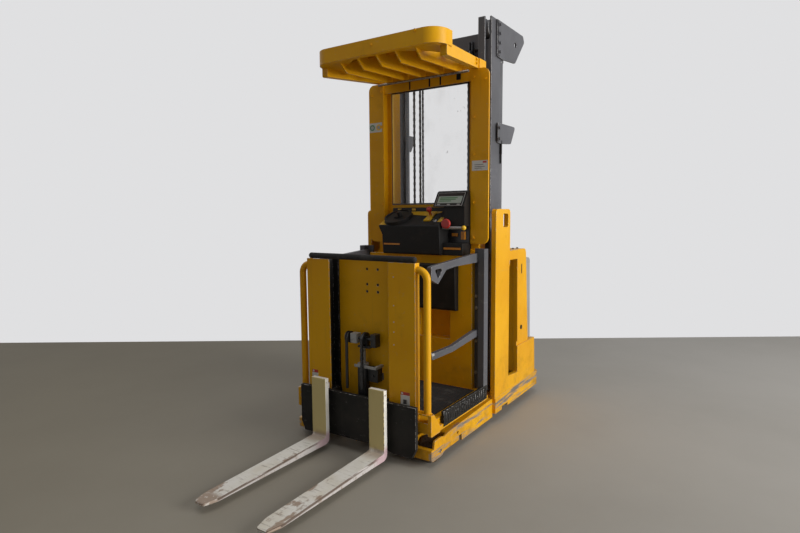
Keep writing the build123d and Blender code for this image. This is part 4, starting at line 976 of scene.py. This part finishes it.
floorLook = {"tone": rgb(0.42, 0.40, 0.365), "second": rgb(0.355, 0.335, 0.30), "reach": 30, "rough": 0.7,
             "shadeTone": rgb(0.60, 0.55, 0.43), "shadeSpan": (-3.0, 3.2), "shadeWay": (0.83, 0.55)}  # painted shade: the floor darkens to the left
wallLook = {"depth": 5.86, "half": 16, "top": 9}
skyLook = {"sky": rgb(0.745, 0.745, 0.755), "light": rgb(0.97, 0.97, 1.0), "strength": 0.155}
lamps = [  # name, place, aim, side length, watts
    ("sideLight", (8.4, 1.1, 2.5), (0, 0.2, 1.2), 5.0, 700),
    ("topLight", (0.8, -0.6, 6.0), (0, 0, 1.0), 4.5, 80),
    ("frontLight", (-2.2, -5.0, 2.0), (0, 0, 1.0), 3.0, 4),
]
photoCamera = {"place": (1.897, -2.761, 1.352), "yaw": 33.51, "pitch": 5.45, "roll": -0.46, "lens": 24.83,
               "sensor": 36, "far": 100}


def turned(degrees, axis):
    return Matrix.Rotation(math.radians(degrees), 4, axis)


def stageSheet(name, shape, material):
    mesh = bpy.data.meshes.new(name)
    shape.to_mesh(mesh)
    shape.free()
    sheet = bpy.data.objects.new(name, mesh)
    bpy.context.scene.collection.objects.link(sheet)
    mesh.materials.append(material)


def layFloor():
    look = floorLook
    material, place = openMaterial("paleFloor")
    slow = ease(cloud(place, scale=0.55, detail=7, rough=0.6), 0.32, 0.72)
    across = axisOf(place, "X")
    reach = across * look["shadeWay"][0] + across.other("Y") * look["shadeWay"][1]
    tone = mixTone(slow * 0.7, look["tone"], look["second"])
    # painted shade: the floor's colour darkens to the left, as light falling off would make it
    tone = mixTone(1 - ease(reach, *look["shadeSpan"]), tone, look["shadeTone"], "MULTIPLY")
    closeMaterial(material, place, {"Base Color": tone}, {"Roughness": look["rough"]})
    shape = bmesh.new()
    bmesh.ops.create_grid(shape, x_segments=1, y_segments=1, size=look["reach"])
    stageSheet("paleFloor", shape, material)


def raiseWall():  # a pale wall behind the truck, shown to the camera from its front only
    material, start = emptyMaterial("paleWall")
    front = 1 - start.make("NewGeometry", output="Backfacing")
    path = front.make("LightPath", output="Is Camera Ray")
    shown = path.most(path.other("Is Transmission Ray")) * front
    clear = front.make("BsdfTransparent")
    pale = front.make("Emission", sockets={"Color": skyLook["sky"], "Strength": 1.0})
    both = front.make("MixShader", sockets={0: shown, 1: clear, 2: pale})
    front.make("OutputMaterial", sockets={"Surface": both})
    shape = bmesh.new()
    bmesh.ops.create_grid(shape, x_segments=1, y_segments=1, size=1)
    x, y, _ = photoCamera["place"]
    middle = wallLook["top"] / 2
    spot = Matrix.Translation((x, y, 0)) @ turned(photoCamera["yaw"], "Z")
    spot = spot @ Matrix.Translation((0, wallLook["depth"], middle)) @ turned(90, "X")
    size = Matrix.Diagonal((wallLook["half"], middle, 1, 1))
    bmesh.ops.transform(shape, matrix=spot @ size, verts=shape.verts)
    stageSheet("paleWall", shape, material)


def lightRoom():
    look = skyLook
    world = bpy.data.worlds.new("room")
    bpy.context.scene.world = world
    world.use_nodes = True
    tree = world.node_tree
    tree.nodes.clear()
    path = Wire(tree, None).make("LightPath", output="Is Camera Ray")
    seen = path.most(path.other("Is Glossy Ray")).most(path.other("Is Transmission Ray"))
    light = path.make("Background", sockets={"Color": look["light"], "Strength": look["strength"]})
    sky = path.make("Background", sockets={"Color": look["sky"], "Strength": 1.0})
    both = path.make("MixShader", sockets={0: seen, 1: light, 2: sky})
    path.make("OutputWorld", sockets={"Surface": both})


def hangLamp(name, place, aim, side, watts):
    lamp = bpy.data.lights.new(name, "AREA")
    lamp.shape = "SQUARE"
    lamp.size = side
    lamp.energy = watts
    holder = bpy.data.objects.new(name, lamp)
    bpy.context.scene.collection.objects.link(holder)
    holder.location = place
    holder.rotation_euler = (Vector(aim) - Vector(place)).to_track_quat("-Z", "Y").to_euler()


def placeCamera():
    look = photoCamera
    camera = bpy.data.cameras.new("photoCamera")
    camera.lens = look["lens"]
    camera.sensor_width = look["sensor"]
    camera.clip_end = look["far"]
    holder = bpy.data.objects.new("photoCamera", camera)
    bpy.context.scene.collection.objects.link(holder)
    aim = turned(look["yaw"], "Z") @ turned(90 - look["pitch"], "X") @ turned(look["roll"], "Z")
    holder.matrix_world = Matrix.Translation(look["place"]) @ aim
    bpy.context.scene.camera = holder


layFloor()
raiseWall()
lightRoom()
for lampRow in lamps:
    hangLamp(*lampRow)
placeCamera()
bpy.context.scene.view_settings.view_transform = "Standard"
print("floor, light and camera")
